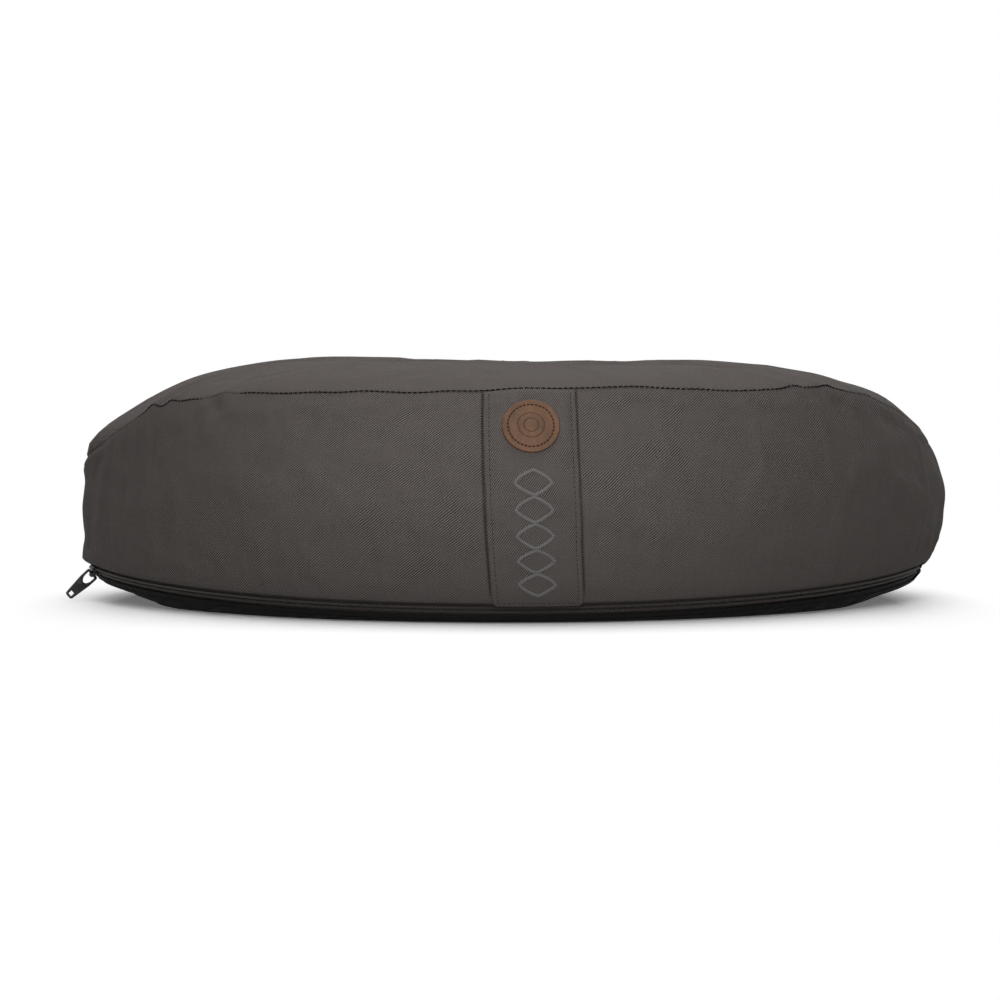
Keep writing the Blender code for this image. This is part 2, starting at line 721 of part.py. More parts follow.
def make_pull(metal):
    """Tapered pull with a window that the bail passes through, hung on a pin under the bail."""
    root, tip = PULL_ROOT_WIDTH / 2, PULL_TIP_WIDTH / 2
    pin = PULL_PIN / 2
    half = PULL_THICKNESS / 2
    base, end = PIN_LEVEL - pin, PIN_LEVEL + PULL_LENGTH

    def slab(name, outline_points, half_thickness):
        """Flat body of the pull's plan, thickened along the zip."""
        faces = [[(t, a, b) for a, b in outline_points] for t in (-half_thickness, half_thickness)]
        return prism(name, faces[0], faces[1], PIN_LEVEL, metal)

    body = [
        (-root + PULL_CORNER, base),
        (root - PULL_CORNER, base),
        (root, base + PULL_CORNER),
        (root, base + PULL_WINDOW),
        (tip, end - PULL_CORNER),
        (tip - PULL_CORNER, end),
        (-tip + PULL_CORNER, end),
        (-tip, end - PULL_CORNER),
        (-root, base + PULL_WINDOW),
        (-root, base + PULL_CORNER),
    ]
    pull = slab("zip_pull", body, half)
    wide = root - PULL_RIM
    floor = PIN_LEVEL + pin
    roof = floor + PULL_WINDOW
    window = [
        (-wide, floor),
        (wide, floor),
        (wide, roof - wide),
        (wide * (1 - WINDOW_CHAMFER), roof - wide * WINDOW_CHAMFER),
        (0.0, roof),
        (-wide * (1 - WINDOW_CHAMFER), roof - wide * WINDOW_CHAMFER),
        (-wide, roof - wide),
    ]
    cutter = slab("window", window, PULL_THICKNESS)
    join_to(pull, cutter, "DIFFERENCE")
    hole = PULL_TIP_HOLE / 2
    hole_low = end - PULL_RIM - PULL_TIP_HOLE
    eye = rectangle(-hole, hole, hole_low, hole_low + PULL_TIP_HOLE)
    cutter = slab("tip_hole", eye, PULL_THICKNESS)
    join_to(pull, cutter, "DIFFERENCE")


def share_at_drop(drop):
    """Share of the wall's height that lies a distance down its middle from the top seam."""
    shares = np.linspace(1.0, 0.0, DROP_SAMPLES)
    line = np.array([wall_point(BAND_X, share) for share in shares])
    run = np.concatenate([[0.0], np.cumsum(np.linalg.norm(np.diff(line, axis=0), axis=1))])
    return float(np.interp(drop, run, shares))


def band_station(sideways, share):
    """Distance along the seam of a point of the band, a distance sideways of its middle."""
    point, normal = outline(BAND_X)
    reach = (wall_point(BAND_X, share) - point) @ normal
    middle = BAND_X + BAND_SLANT * (1 - share)
    return (middle + sideways) * FRONT_RADIUS / (FRONT_RADIUS + reach)


def on_band(sideways, share, level):
    """Point at a level over the wall's face, a distance sideways of the band's middle."""
    s = band_station(sideways, share)
    return wall_point(s, share) + wall_normal(s, share) * level


def on_band_foot(sideways, across_by, level):
    """The same below the wall, where the band runs down over the hem and the zip's tape."""
    s = band_station(sideways, 0.0)
    return hem_point(s, across_by, CLOTH_FACE + level)


def band_rows(level, inset=0.0):
    """Rows of points across the band, from its foot up to the top seam."""
    rows = []
    hem_top = ZIP_OPEN_HALF + HEM
    half = BAND_WIDTH / 2 - inset
    for share in BAND_FOOT_STEPS:
        up = BAND_CORNER * share
        drawn_in = BAND_CORNER - math.sqrt(max(BAND_CORNER ** 2 - (BAND_CORNER - up) ** 2, 0.0))
        width = half - drawn_in
        across_by = BAND_FOOT + inset + (hem_top - BAND_FOOT - inset) * share
        rows.append([on_band_foot(a, across_by, level) for a in stations(-width, width, BAND_ACROSS_STEPS)])
    top = share_at_drop(BAND_TOP_DROP + inset)
    for share in list(WALL_STEPS[1:-1]) + [top]:
        rows.append([on_band(a, share, level) for a in stations(-half, half, BAND_ACROSS_STEPS)])
    return rows


def make_band(finishes):
    """Carry band with its edge stitching, leather patch, patch stitching and embroidery."""
    low, high = band_rows(GAP), band_rows(BAND_FACE)
    sections = [np.array(a + b[::-1]) for a, b in zip(low, high)]
    loft("carry_band", sections, finishes["band"])

    rows = band_rows(BAND_FACE + GAP + FINE_THREAD_RADIUS, BAND_STITCH_INSET)
    path = [row[0] for row in rows] + rows[-1][1:-1] + [row[-1] for row in rows[::-1]]
    path += rows[0][-2:0:-1]
    thread("band_stitching", path, FINE_THREAD_RADIUS, finishes["seam_thread"], True)
    make_patch(finishes)
    make_embroidery(finishes)


def disc_ring(radius, level):
    """Ring of points on the band's face round the patch's middle."""
    turns = [2 * math.pi * i / PATCH_SIDES for i in range(PATCH_SIDES)]
    drops = [PATCH_DROP - radius * math.sin(turn) for turn in turns]
    return [on_band(radius * math.cos(t), share_at_drop(d), level) for t, d in zip(turns, drops)]


def make_patch(finishes):
    """Round leather patch sewn to the band, with its ring of stitching."""
    radius = PATCH_DIAMETER / 2
    seat = BAND_FACE + GAP
    face = seat + PATCH_THICKNESS
    radii = [radius] + [radius * share for share in PATCH_RINGS]
    upper = [disc_ring(radius, face - PATCH_THICKNESS / 4)]
    upper += [disc_ring(radius - PATCH_THICKNESS / 4, face)]
    upper += [disc_ring(r, face) for r in radii[1:]]
    lower = [disc_ring(r, seat) for r in radii]
    share = share_at_drop(PATCH_DROP)
    tips = on_band(0.0, share, face), on_band(0.0, share, seat)
    dished("leather_patch", upper, lower, tips[0], tips[1], finishes["leather"])
    ring = disc_ring(radius - PATCH_STITCH_INSET, face + GAP + FINE_THREAD_RADIUS)
    thread("patch_stitching", ring, FINE_THREAD_RADIUS, finishes["patch_thread"], True)


def make_embroidery(finishes):
    """Row of linked, outlined lozenges in raised satin stitch, one body."""
    half, wide, neck = MOTIF_LENGTH / 2, MOTIF_WIDTH / 2, MOTIF_NECK / 2
    slope = math.hypot(half, wide - neck) / half
    inner_wide = wide - MOTIF_LINE * slope
    inner_half = half - MOTIF_LINE
    inner_neck = neck / 2
    rings = (
        [(neck, half), (wide, 0.0), (neck, -half), (-neck, -half), (-wide, 0.0), (-neck, half)],
        [
            (inner_neck, inner_half),
            (inner_wide, 0.0),
            (inner_neck, -inner_half),
            (-inner_neck, -inner_half),
            (-inner_wide, 0.0),
            (-inner_neck, inner_half),
        ],
    )
    builder = bmesh.new()
    for motif in range(MOTIF_COUNT):
        middle = MOTIF_DROP + half + motif * MOTIF_LENGTH
        loops = []
        for ring in rings:
            points = [on_band(a, share_at_drop(middle - b), BAND_FACE + GAP) for a, b in ring]
            loops.append([builder.verts.new(point) for point in points])
        for i in range(6):
            j = (i + 1) % 6
            builder.faces.new((loops[0][i], loops[0][j], loops[1][j], loops[1][i]))
    bmesh.ops.remove_doubles(builder, verts=builder.verts[:], dist=EMBROIDERY_MERGE)
    raised = bmesh.ops.extrude_face_region(builder, geom=builder.faces[:])["geom"]
    middle_share = share_at_drop(MOTIF_DROP + MOTIF_COUNT * half)
    lift = Vector(wall_normal(BAND_X, middle_share)) * MOTIF_RELIEF
    for part in raised:
        if isinstance(part, bmesh.types.BMVert):
            part.co += lift
    finish_mesh("band_embroidery", builder, finishes["ornament_thread"])


def main():
    """Build the cushion."""
    for item in list(bpy.data.objects):
        bpy.data.objects.remove(item)
    finishes = make_materials()
    make_cover(finishes)
    make_filling(finishes)
    make_zip(finishes)
    make_band(finishes)


main()
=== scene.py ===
"""Dresses a half-moon meditation cushion: its cloth, seams, zip, band, leather and filling.

Every surface is worked out from the same few sizes as the construction, in metres, +Z up, with the
bowed front towards -Y. Distances s run along the seam from the middle of the front, positive to the
right, all the way round to the middle of the back.
"""

import json
import logging
import math
from dataclasses import dataclass, field
from enum import Enum
from typing import Callable

import bmesh
import bpy
import numpy as np
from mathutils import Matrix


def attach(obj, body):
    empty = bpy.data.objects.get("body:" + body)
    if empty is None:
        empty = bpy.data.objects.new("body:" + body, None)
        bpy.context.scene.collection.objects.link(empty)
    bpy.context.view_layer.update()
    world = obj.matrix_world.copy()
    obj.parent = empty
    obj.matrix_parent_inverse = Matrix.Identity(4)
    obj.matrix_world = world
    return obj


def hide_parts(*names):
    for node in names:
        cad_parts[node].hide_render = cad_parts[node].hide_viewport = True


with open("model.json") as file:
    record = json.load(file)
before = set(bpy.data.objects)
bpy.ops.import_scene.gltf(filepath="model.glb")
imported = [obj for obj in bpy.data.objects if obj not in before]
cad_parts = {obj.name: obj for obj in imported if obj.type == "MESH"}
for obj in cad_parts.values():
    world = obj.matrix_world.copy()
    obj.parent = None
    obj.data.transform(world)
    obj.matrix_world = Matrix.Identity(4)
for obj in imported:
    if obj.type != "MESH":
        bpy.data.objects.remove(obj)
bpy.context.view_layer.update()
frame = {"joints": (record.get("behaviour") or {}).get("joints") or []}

Array = np.ndarray
Place = tuple[float, float, float]
Colour = tuple[float, float, float]
Socket = bpy.types.NodeSocket
LOG = logging.getLogger("cushion")
UP = np.array([0.0, 0.0, 1.0])
WHITE = (1.0, 1.0, 1.0, 1.0)


def unit(vectors: Array) -> Array:
    """Scale the last axis of an array of vectors to length one."""
    return vectors / np.maximum(np.linalg.norm(vectors, axis=-1, keepdims=True), 1e-12)


def ease(share: Array) -> Array:
    """Smooth step from 0 to 1: half of one minus the cosine of a half turn."""
    return 0.5 - 0.5 * np.cos(np.pi * np.clip(share, 0.0, 1.0))


def bell(x: Array, middle: float, width: float) -> Array:
    """Bell curve of height 1: e to the minus square of the distance over the width."""
    return np.exp(-(((x - middle) / width) ** 2))


def round_over(share: Array) -> Array:
    """Rise of a quarter circle over a share of its width: the root of 1 less the square of what is left."""
    return np.sqrt(np.clip(1 - (1 - np.clip(share, 0, 1)) ** 2, 0, 1))


def squared(wave: Array, power: float) -> Array:
    """Cosine or sine raised to a power with its sign kept, which squares a circle or draws its points out."""
    return np.sign(wave) * np.abs(wave) ** power


def running(points: Array) -> Array:
    """Length of a line up to each of its points."""
    return np.concatenate([[0.0], np.cumsum(np.linalg.norm(np.diff(points, axis=0), axis=1))])


def texture_grid(first: Array, second: Array) -> Array:
    """Texture places of a grid from the places of its columns and of its rows."""
    return np.stack(np.meshgrid(first, second, indexing="ij"), axis=-1)


def through(x: Array, places: tuple[tuple[float, float], ...]) -> Array:
    """Smooth curve through chosen (place, value) points, eased from each point to the next.

    Args:
        x: Where the curve is read.
        places: The points, in rising order of place.

    Returns:
        The curve's values, constant beyond both ends.
    """
    spots = np.array([place for place, _ in places])
    values = np.array([value for _, value in places])
    x = np.clip(x, spots[0], spots[-1])
    after = np.clip(np.searchsorted(spots, x, side="right"), 1, len(spots) - 1)
    share = (x - spots[after - 1]) / (spots[after] - spots[after - 1])
    return values[after - 1] + (values[after] - values[after - 1]) * ease(share)


def ripples(a: Array, b: Array, wavelength: float, seed: int, waves: int = 22) -> Array:
    """Soft random unevenness over a surface: a sum of plane waves in random directions.

    Args:
        a: First coordinate in metres.
        b: Second coordinate in metres.
        wavelength: Middle wavelength in metres.
        seed: Seed of the waves' directions and phases.
        waves: How many waves are added.

    Returns:
        Values of about -1 to 1.
    """
    chance = np.random.default_rng(seed)
    total = np.zeros(np.broadcast(a, b).shape)
    for _ in range(waves):
        turn, phase = chance.uniform(0, 2 * np.pi, 2)
        number = 2 * np.pi / (wavelength * chance.uniform(0.6, 1.6))
        total += np.cos(number * (a * np.cos(turn) + b * np.sin(turn)) + phase)
    return total / math.sqrt(2 * waves)


@dataclass
class Shell:
    """One closed surface: its points, its faces and a texture place for each face's corners.

    Attributes:
        points: Vertex places, one row each.
        faces: Vertex indices, one array for each face.
        uv: Texture places in metres, one row for each corner, in the faces' order.
    """

    points: Array
    faces: list[Array]
    uv: Array

    def facing_out(self) -> "Shell":
        """Turn the faces round if the volume that they enclose comes out negative.

        Returns:
            The surface whose faces point out.
        """
        fans = [self.points[np.stack([np.repeat(f[:1], len(f) - 2), f[1:-1], f[2:]])] for f in self.faces]
        corners = np.concatenate(fans, axis=1)
        volume = np.einsum("ij,ij->", corners[0], np.cross(corners[1], corners[2]))
        if volume >= 0:
            return self
        ends = np.cumsum([len(face) for face in self.faces])[:-1]
        uv = np.concatenate([part[::-1] for part in np.split(self.uv, ends)])
        return Shell(self.points, [face[::-1] for face in self.faces], uv)


class Ends(Enum):
    """How the first and last sections of a swept surface are treated."""

    JOINED = "they join each other"
    CLOSED = "each has a face over it"


def grid_quads(columns: int, rows: int, ring: bool, loop: bool) -> tuple[Array, Array, Array]:
    """Four-sided faces of a grid of points that are numbered column by column.

    Args:
        columns: Points one way.
        rows: Points the other way.
        ring: Whether the last row joins the first.
        loop: Whether the last column joins the first.

    Returns:
        Column and row of each face's first corner, and the four corners' numbers.
    """
    i, j = np.meshgrid(np.arange(columns - (not loop)), np.arange(rows - (not ring)), indexing="ij")
    i, j = i.ravel(), j.ravel()
    across, along = (i + 1) % columns, (j + 1) % rows
    return i, j, np.stack([i * rows + j, across * rows + j, across * rows + along, i * rows + along], axis=1)


def swept_shell(points: Array, uv: Array, ends: Ends = Ends.CLOSED) -> Shell:
    """Surface through a row of closed sections.

    Args:
        points: Places, shaped (sections, points round a section, 3).
        uv: Texture places, with one more point round a section, and one more section where they join.
        ends: How the first and last sections are treated.

    Returns:
        The surface, facing out.
    """
    columns, rows = points.shape[:2]
    i, j, quads = grid_quads(columns, rows, ring=True, loop=ends is Ends.JOINED)
    faces = list(quads)
    places = np.stack([uv[i, j], uv[i + 1, j], uv[i + 1, j + 1], uv[i, j + 1]], axis=1).reshape(-1, 2)
    if ends is Ends.CLOSED:
        faces += [np.arange(rows)[::-1], (columns - 1) * rows + np.arange(rows)]
        places = np.concatenate([places, uv[0, :rows][::-1], uv[-1, :rows]])
    return Shell(points.reshape(-1, 3), faces, places).facing_out()


def domed_shell(points: Array, tips: tuple[Array, Array]) -> Shell:
    """Closed sheet whose columns join up and whose first and last rows are drawn to a tip.

    Texture places are the plan: x and y.

    Args:
        points: Places, shaped (columns, rows, 3), from one tip out to the rim and back to the other.
        tips: The two tip points.

    Returns:
        The surface, facing out.
    """
    columns, rows = points.shape[:2]
    all_points = np.vstack([points.reshape(-1, 3), *tips])
    start = np.arange(columns) * rows
    following = np.roll(start, -1)
    first_tip = np.full(columns, columns * rows)
    inward = np.stack([following, start, first_tip], axis=1)
    outward = np.stack([start + rows - 1, following + rows - 1, first_tip + 1], axis=1)
    faces = [*grid_quads(columns, rows, ring=False, loop=True)[2], *inward, *outward]
    uv = np.concatenate([all_points[face, :2] for face in faces])
    return Shell(all_points, faces, uv).facing_out()


def linked(name: str, data: bpy.types.ID) -> bpy.types.Object:
    """Object linked to the scene.

    Args:
        name: Its name.
        data: Its mesh, curve, lamp or camera.

    Returns:
        The object.
    """
    item = bpy.data.objects.new(name, data)
    bpy.context.scene.collection.objects.link(item)
    return item


def level_tips(points: Array) -> tuple[Array, Array]:
    """Tips of a sheet over the origin, at the mean heights of its first and last rows."""
    return UP * points[:, 0, 2].mean(), UP * points[:, -1, 2].mean()


def drawn_in(
    start: Array, normal: Array, inward: Array, height: Array, shares: tuple[float, ...], lift: float
) -> Array:
    """Rows from a seam that curve in and down, and then run level towards the origin.

    Args:
        start: The first row's points.
        normal: Directions out of the outline there.
        inward: How far in each row of the curve lies.
        height: Its heights.
        shares: Size of each level row, as a share of the curve's last one.
        lift: Height of the level rows.

    Returns:
        The points, shaped (columns, rows, 3).
    """
    curved = start[:, None] - normal[:, None] * inward[..., None]
    curved[..., 2] = height
    level = curved[:, -1:] * np.array(shares)[None, :, None]
    level[..., 2] = lift
    return np.concatenate([start[:, None], curved, level], axis=1)


def build(name: str, shells: list[Shell], finish: "Finish", smooth_angle: float = 50.0) -> bpy.types.Object:
    """Make one mesh object of closed surfaces, with its texture places, finish and smooth shading.

    Args:
        name: The object's name.
        shells: Its surfaces.
        finish: Its finish.
        smooth_angle: Edges sharper than this many degrees stay sharp.

    Returns:
        The object, linked to the scene.
    """
    starts = np.cumsum([0] + [len(shell.points) for shell in shells])
    faces = [face + start for shell, start in zip(shells, starts) for face in shell.faces]
    mesh = bpy.data.meshes.new(name)
    points = np.concatenate([shell.points for shell in shells]).astype(np.float32)
    corners = np.concatenate(faces).astype(np.int32)
    sizes = np.array([len(face) for face in faces])
    mesh.vertices.add(len(points))
    mesh.vertices.foreach_set("co", points.ravel())
    mesh.loops.add(len(corners))
    mesh.loops.foreach_set("vertex_index", corners)
    mesh.polygons.add(len(faces))
    mesh.polygons.foreach_set("loop_start", (np.cumsum(sizes) - sizes).astype(np.int32))
    mesh.update(calc_edges=True)
    layer = mesh.uv_layers.new(name="UVMap")
    layer.data.foreach_set("uv", np.concatenate([shell.uv for shell in shells]).astype(np.float32).ravel())
    mesh.shade_smooth()
    mesh.set_sharp_from_angle(angle=math.radians(smooth_angle))
    mesh.validate()
    mesh.materials.append(finish.material())
    return linked(name, mesh)


def show(item: bpy.types.Object, body: str, node: str) -> bpy.types.Object:
    """Let a piece ride on a body and stand for its node, whose part it hides, and report it.

    Args:
        item: The piece.
        body: The body that carries it.
        node: The node of the part that it stands for.

    Returns:
        The piece.
    """
    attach(item, body)
    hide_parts(node)
    LOG.info("%s: %d faces, stands for %s", item.name, len(item.data.polygons), node)
    return item


def tube(path: Array, normals: Array, radius: float, sides: int) -> Shell:
    """Round tube along an open path: at each point a circle square to the path.

    Args:
        path: Centre points, shaped (n, 3).
        normals: Directions out of the path's surface there.
        radius: Radius of the tube.
        sides: Points round it.

    Returns:
        The closed tube, with texture places of distance along and distance round.
    """
    ahead = np.roll(path, -1, axis=0) - np.roll(path, 1, axis=0)
    ahead[0], ahead[-1] = path[1] - path[0], path[-1] - path[-2]
    along = unit(ahead)
    side = unit(np.cross(normals, along))
    outward = unit(np.cross(along, side))
    turn = np.arange(sides) * 2 * np.pi / sides
    over = side[:, None] * (radius * np.cos(turn))[None, :, None]
    up = outward[:, None] * (radius * np.sin(turn))[None, :, None]
    points = path[:, None] + over + up
    girth = running(np.concatenate([points[0], points[0, :1]]))
    return swept_shell(points, texture_grid(running(points[:, 0]), girth))


def stitches(
    path: Array, normals: Array, pitch: float, length: float, radius: float, loop: bool = False
) -> list[Shell]:
    """Row of stitches along a path: plump threads that dip into the cloth at both ends.

    Each is a six-sided tube whose radius follows an ellipse along it, so it nearly closes at both ends.

    Args:
        path: Dense points of the row, on the cloth's face.
        normals: Outward normals there.
        pitch: Distance from one stitch to the next.
        length: Length of the thread that shows.
        radius: Thread's radius.
        loop: Whether the row is closed.

    Returns:
        One closed surface for each stitch.
    """
    line = np.vstack([path, path[:1]]) if loop else path
    outward = np.vstack([normals, normals[:1]]) if loop else normals
    run = running(line)
    count = max(int(run[-1] / pitch), 1)
    middles = (np.arange(count) + 0.5) * run[-1] / count
    steps, sides = 5, 6
    tip_share = 0.93
    t = np.linspace(-1, 1, steps)
    spots = middles[:, None] + t * length / 2
    centre = np.stack([np.interp(spots, run, line[:, k]) for k in range(3)], axis=-1)
    up = unit(np.stack([np.interp(spots, run, outward[:, k]) for k in range(3)], axis=-1))
    along = unit(np.gradient(centre, axis=1))
    side = unit(np.cross(up, along))
    swell = np.sqrt(np.maximum(1 - (tip_share * t) ** 2, 0.0))
    turn = np.arange(sides)[:, None] * 2 * np.pi / sides
    centre = centre + up * (radius * (swell - 0.75))[None, :, None]
    ring = side[:, :, None] * np.cos(turn) + up[:, :, None] * np.sin(turn)
    points = centre[:, :, None] + ring * (radius * swell)[None, :, None, None]
    uv = texture_grid(t * length / 2, np.arange(sides + 1) * radius)
    return [swept_shell(stitch, uv) for stitch in points]


@dataclass
class Plan:
    """Outline of the seams: a bowed front arc, two round horns and a hollow back arc.

    Attributes:
        width: Width along the seam.
        depth: Depth along the seam.
        horn_radius: Radius of each horn.
        back_hollow: How far the back's middle lies in front of the horns.
    """

    width: float = 0.435
    depth: float = 0.228
    horn_radius: float = 0.055
    back_hollow: float = 0.028

    def __post_init__(self) -> None:
        """Work out the arcs, which touch each other, and the distances along the seam where they end.

        The horns' centres are at horn_x and horn_y, the front's at front_y and the back's at back_y. An
        angle is half an arc's own. The walls' side seams are at the widest distance.
        """
        self.horn_x = self.width / 2 - self.horn_radius
        self.horn_y = self.depth / 2 - self.horn_radius
        reach = self.depth - self.horn_radius
        across = self.horn_x ** 2 + reach ** 2 - self.horn_radius ** 2
        self.front_radius = across / (2 * (reach - self.horn_radius))
        self.front_y = self.front_radius - self.depth / 2
        self.front_angle = math.atan2(self.horn_x, self.front_y - self.horn_y)
        sagitta = self.back_hollow
        self.back_radius = (self.horn_x ** 2 + sagitta ** 2) / (2 * sagitta) - self.horn_radius
        self.back_y = self.depth / 2 - self.back_hollow + self.back_radius
        self.back_angle = math.asin(self.horn_x / (self.back_radius + self.horn_radius))
        self.front_end = self.front_radius * self.front_angle
        self.widest = self.front_end + self.horn_radius * (math.pi / 2 - self.front_angle)
        self.horn_end = self.front_end + self.horn_radius * (math.pi + self.back_angle - self.front_angle)
        self.back_end = self.horn_end + self.back_radius * self.back_angle

    def folded(self, s: Array) -> Array:
        """Distance brought into the range from the back's middle round to itself."""
        return (np.asarray(s, float) + self.back_end) % (2 * self.back_end) - self.back_end

    def loop(self, count: int) -> Array:
        """Distances all the way round, from the back's middle, in equal steps."""
        return -self.back_end + 2 * self.back_end * np.arange(count) / count

    def at(self, s: Array) -> tuple[Array, Array]:
        """Point and outward normal of the outline: each arc's centre plus its radius times a direction.

        Args:
            s: Distances along it.

        Returns:
            The points and the normals, both level with the floor.
        """
        s = self.folded(s)
        side, run = np.where(s >= 0, 1.0, -1.0), np.abs(s)
        front, horn = run <= self.front_end, run <= self.horn_end
        horn_angle = self.front_angle + (run - self.front_end) / self.horn_radius
        angle = np.where(front, run / self.front_radius, horn_angle)
        back = (self.back_end - run) / self.back_radius
        nx = np.where(horn, np.sin(angle), -np.sin(back))
        ny = np.where(horn, -np.cos(angle), np.cos(back))
        radius = np.where(front, self.front_radius, np.where(horn, self.horn_radius, -self.back_radius))
        cx = np.where(front | ~horn, 0.0, self.horn_x)
        cy = np.where(front, self.front_y, np.where(horn, self.horn_y, self.back_y))
        zero = np.zeros_like(nx)
        point = np.stack([side * (cx + radius * nx), cy + radius * ny, zero], axis=-1)
        return point, np.stack([side * nx, ny, zero], axis=-1)

    def around(self, s: Array, front: float, side: Array, back: float) -> Array:
        """Value eased from the front's middle to the widest point and on to the back's middle.

        Args:
            s: Distances along the outline.
            front: Value at the front's middle.
            side: Value at the widest points.
            back: Value at the back's middle.

        Returns:
            The values.
        """
        run = np.abs(self.folded(s))
        near = front + (side - front) * ease(run / self.widest)
        far = side + (back - side) * ease((run - self.widest) / (self.back_end - self.widest))
        return np.where(run <= self.widest, near, far)


def face_normal(face: Callable[[Array, Array], Array], s: Array, share: Array, step: float) -> Array:
    """Direction square to a face, from small steps along and up it.

    Args:
        face: Function that gives the face's points.
        s: Distances along the seam.
        share: Places up the face.
        step: Length of the small steps.

    Returns:
        Unit directions, out of a face that stands on the seam.
    """
    up = face(s, share + step) - face(s, share - step)
    along = face(s + step, share) - face(s - step, share)
    return unit(np.cross(along, up))


@dataclass(frozen=True)
class Dent:
    """A shallow pull in the wall, such as beside a gathered seam.

    Attributes:
        s: Its place along the seam.
        share: Its place up the wall, from 0 at the hem to 1 at the top seam.
        width: Its half width along the seam.
        height: Its half height as a share of the wall.
        depth: How deep it is, or how proud where negative.
        lean: How far its middle shifts along the seam for each share of height below it.
    """

    s: float
    share: float
    width: float
    height: float
    depth: float
    lean: float = 0.0

    def at(self, s: Array, share: Array) -> Array:
        """How far the cloth lies proud here: a bell in both directions."""
        middle = self.s + self.lean * (self.share - share)
        return -self.depth * bell(s, middle, self.width) * bell(share, self.share, self.height)


@dataclass
class Form:
    """Shape of the stuffed cover, and of the zip's line along its foot.

    Attributes:
        plan: Outline of the seams.
        seam_height: Height of the top seam in front.
        back_seam_height: The same at the back.
        left_droop: How far the top seam droops round the left horn.
        right_droop: The same on the right.
        droop_reach: Distance along the seam over which it droops.
        top_height: Height of the crown.
        shoulder: How squarely the top panel turns down to its seam.
        crown_rim: How close to its rim the crown's own unevenness reaches.
        belly: How far the top panel bellies out over its seam round the left horn.
        belly_middle: Distance along the seam where it bellies out most.
        belly_reach: Distance to either side over which it does.
        belly_share: Share of the way in from the seam where it bellies out most.
        front_swell: How far the front wall swells past the seam.
        right_swell: The same at the right end.
        back_swell: The same at the back.
        left_swell: The same at the left end.
        zip_setback: How far the zip's line lies inside the top seam's outline.
        left_tuck: How much further in the foot seam lies round the left horn.
        zip_facing: Angle by which the zip faces down.
        zip_open_half: Half the width between the two hems.
        hem: Width of the hem.
        hem_closing: Distance over which the hems close beyond the zip.
        gap: Gap between neighbouring pieces.
        cloth: Thickness of the cover's cloth.
        seam_trend: Height added to the seam, as (distance, height) points.
        puckers: Small rises of the seam, as (distance, rise, half width).
        crown_trend: Height added to the crown, as (sideways place, height) points.
        band_half: Half the width of the carry band.
        band_place: Distance along the seam of the band's middle at the top.
        band_slant: How far its foot lies further along.
        band_bow: Share by which its left half widens half way down.
        press_depth: How deep the wall is pressed in beside the band's left and right edge.
        press_width: Half width of that pressed line.
        under_start: Least distance over which the base curves under.
        under_slope: What is added to it for each metre of rise.
        horn_span: Distances where the horns' longer curve starts and ends, and over which it fades.
        horn_reach: Distance over which the base curves under at the left and the right horn.
        horn_power: Power that makes that curve straighter.
        dents: Pulls in the wall.
    """

    plan: Plan = field(default_factory=Plan)
    seam_height: float = 0.1125
    back_seam_height: float = 0.106
    left_droop: float = 0.044
    right_droop: float = 0.031
    droop_reach: float = 0.187
    top_height: float = 0.125
    shoulder: float = 5.0
    crown_rim: float = 10.0
    belly: float = 0.0055
    belly_middle: float = -0.305
    belly_reach: float = 0.075
    belly_share: float = 0.035
    front_swell: float = 0.0205
    right_swell: float = 0.011
    back_swell: float = 0.009
    left_swell: float = 0.0032
    zip_setback: float = 0.001
    left_tuck: float = 0.0027
    zip_facing: float = math.radians(40.0)
    zip_open_half: float = 0.0045
    hem: float = 0.003
    hem_closing: float = 0.012
    gap: float = 0.0003
    cloth: float = 0.0012
    seam_trend: tuple = (
        (-0.31, 0.0), (-0.24, -0.0037), (-0.168, -0.0042), (-0.148, -0.0018), (-0.09, -0.0011),
        (-0.03, -0.0010), (0.03, 0.0008), (0.065, 0.0013), (0.125, 0.0001), (0.18, 0.0018),
        (0.24, 0.0020), (0.31, 0.0012), (0.37, 0.0),
    )
    band_half: float = 0.022
    band_place: float = 0.0110
    band_slant: float = 0.0042
    band_bow: float = 0.058
    press_depth: tuple[float, float] = (0.0019, 0.0015)
    press_width: float = 0.00055
    under_start: float = 0.003
    under_slope: float = 0.8
    horn_span: tuple[float, float, float] = (0.19, 0.44, 0.07)
    horn_reach: tuple[float, float] = (0.030, 0.024)
    horn_power: float = 1.6
    puckers: tuple = (
        (-0.204, 0.0024, 0.005), (-0.188, 0.0020, 0.005), (-0.150, 0.0008, 0.006), (-0.072, 0.0006, 0.010),
        (0.153, 0.0013, 0.005), (0.176, 0.0012, 0.005), (0.210, 0.0006, 0.008),
    )
    crown_trend: tuple = (
        (-0.212, 0.0020), (-0.190, 0.0), (-0.10, -0.0005), (-0.05, -0.0016), (0.0, -0.0028), (0.03, -0.0036),
        (0.06, -0.0030), (0.10, -0.0023), (0.14, -0.0024), (0.17, -0.0008), (0.195, 0.0022), (0.215, 0.0),
    )
    dents: tuple = (
        Dent(-0.1525, 0.93, 0.0050, 0.055, 0.0016, 0.050),
        Dent(-0.1610, 0.955, 0.0035, 0.030, -0.0008),
        Dent(-0.185, 0.62, 0.030, 0.20, 0.0008),
        Dent(-0.315, 0.93, 0.045, 0.10, -0.0018),
        Dent(-0.287, 0.20, 0.020, 0.13, 0.0018),
        Dent(0.225, 0.90, 0.012, 0.050, 0.0008),
        Dent(0.165, 0.955, 0.006, 0.030, 0.0006),
        Dent(0.286, 0.36, 0.010, 0.10, 0.0012),
        Dent(-0.262, 0.86, 0.010, 0.06, 0.0009, 0.03),
        Dent(-0.016, 0.5, 0.004, 0.45, 0.0005),
        Dent(0.040, 0.45, 0.005, 0.45, 0.0005),
    )

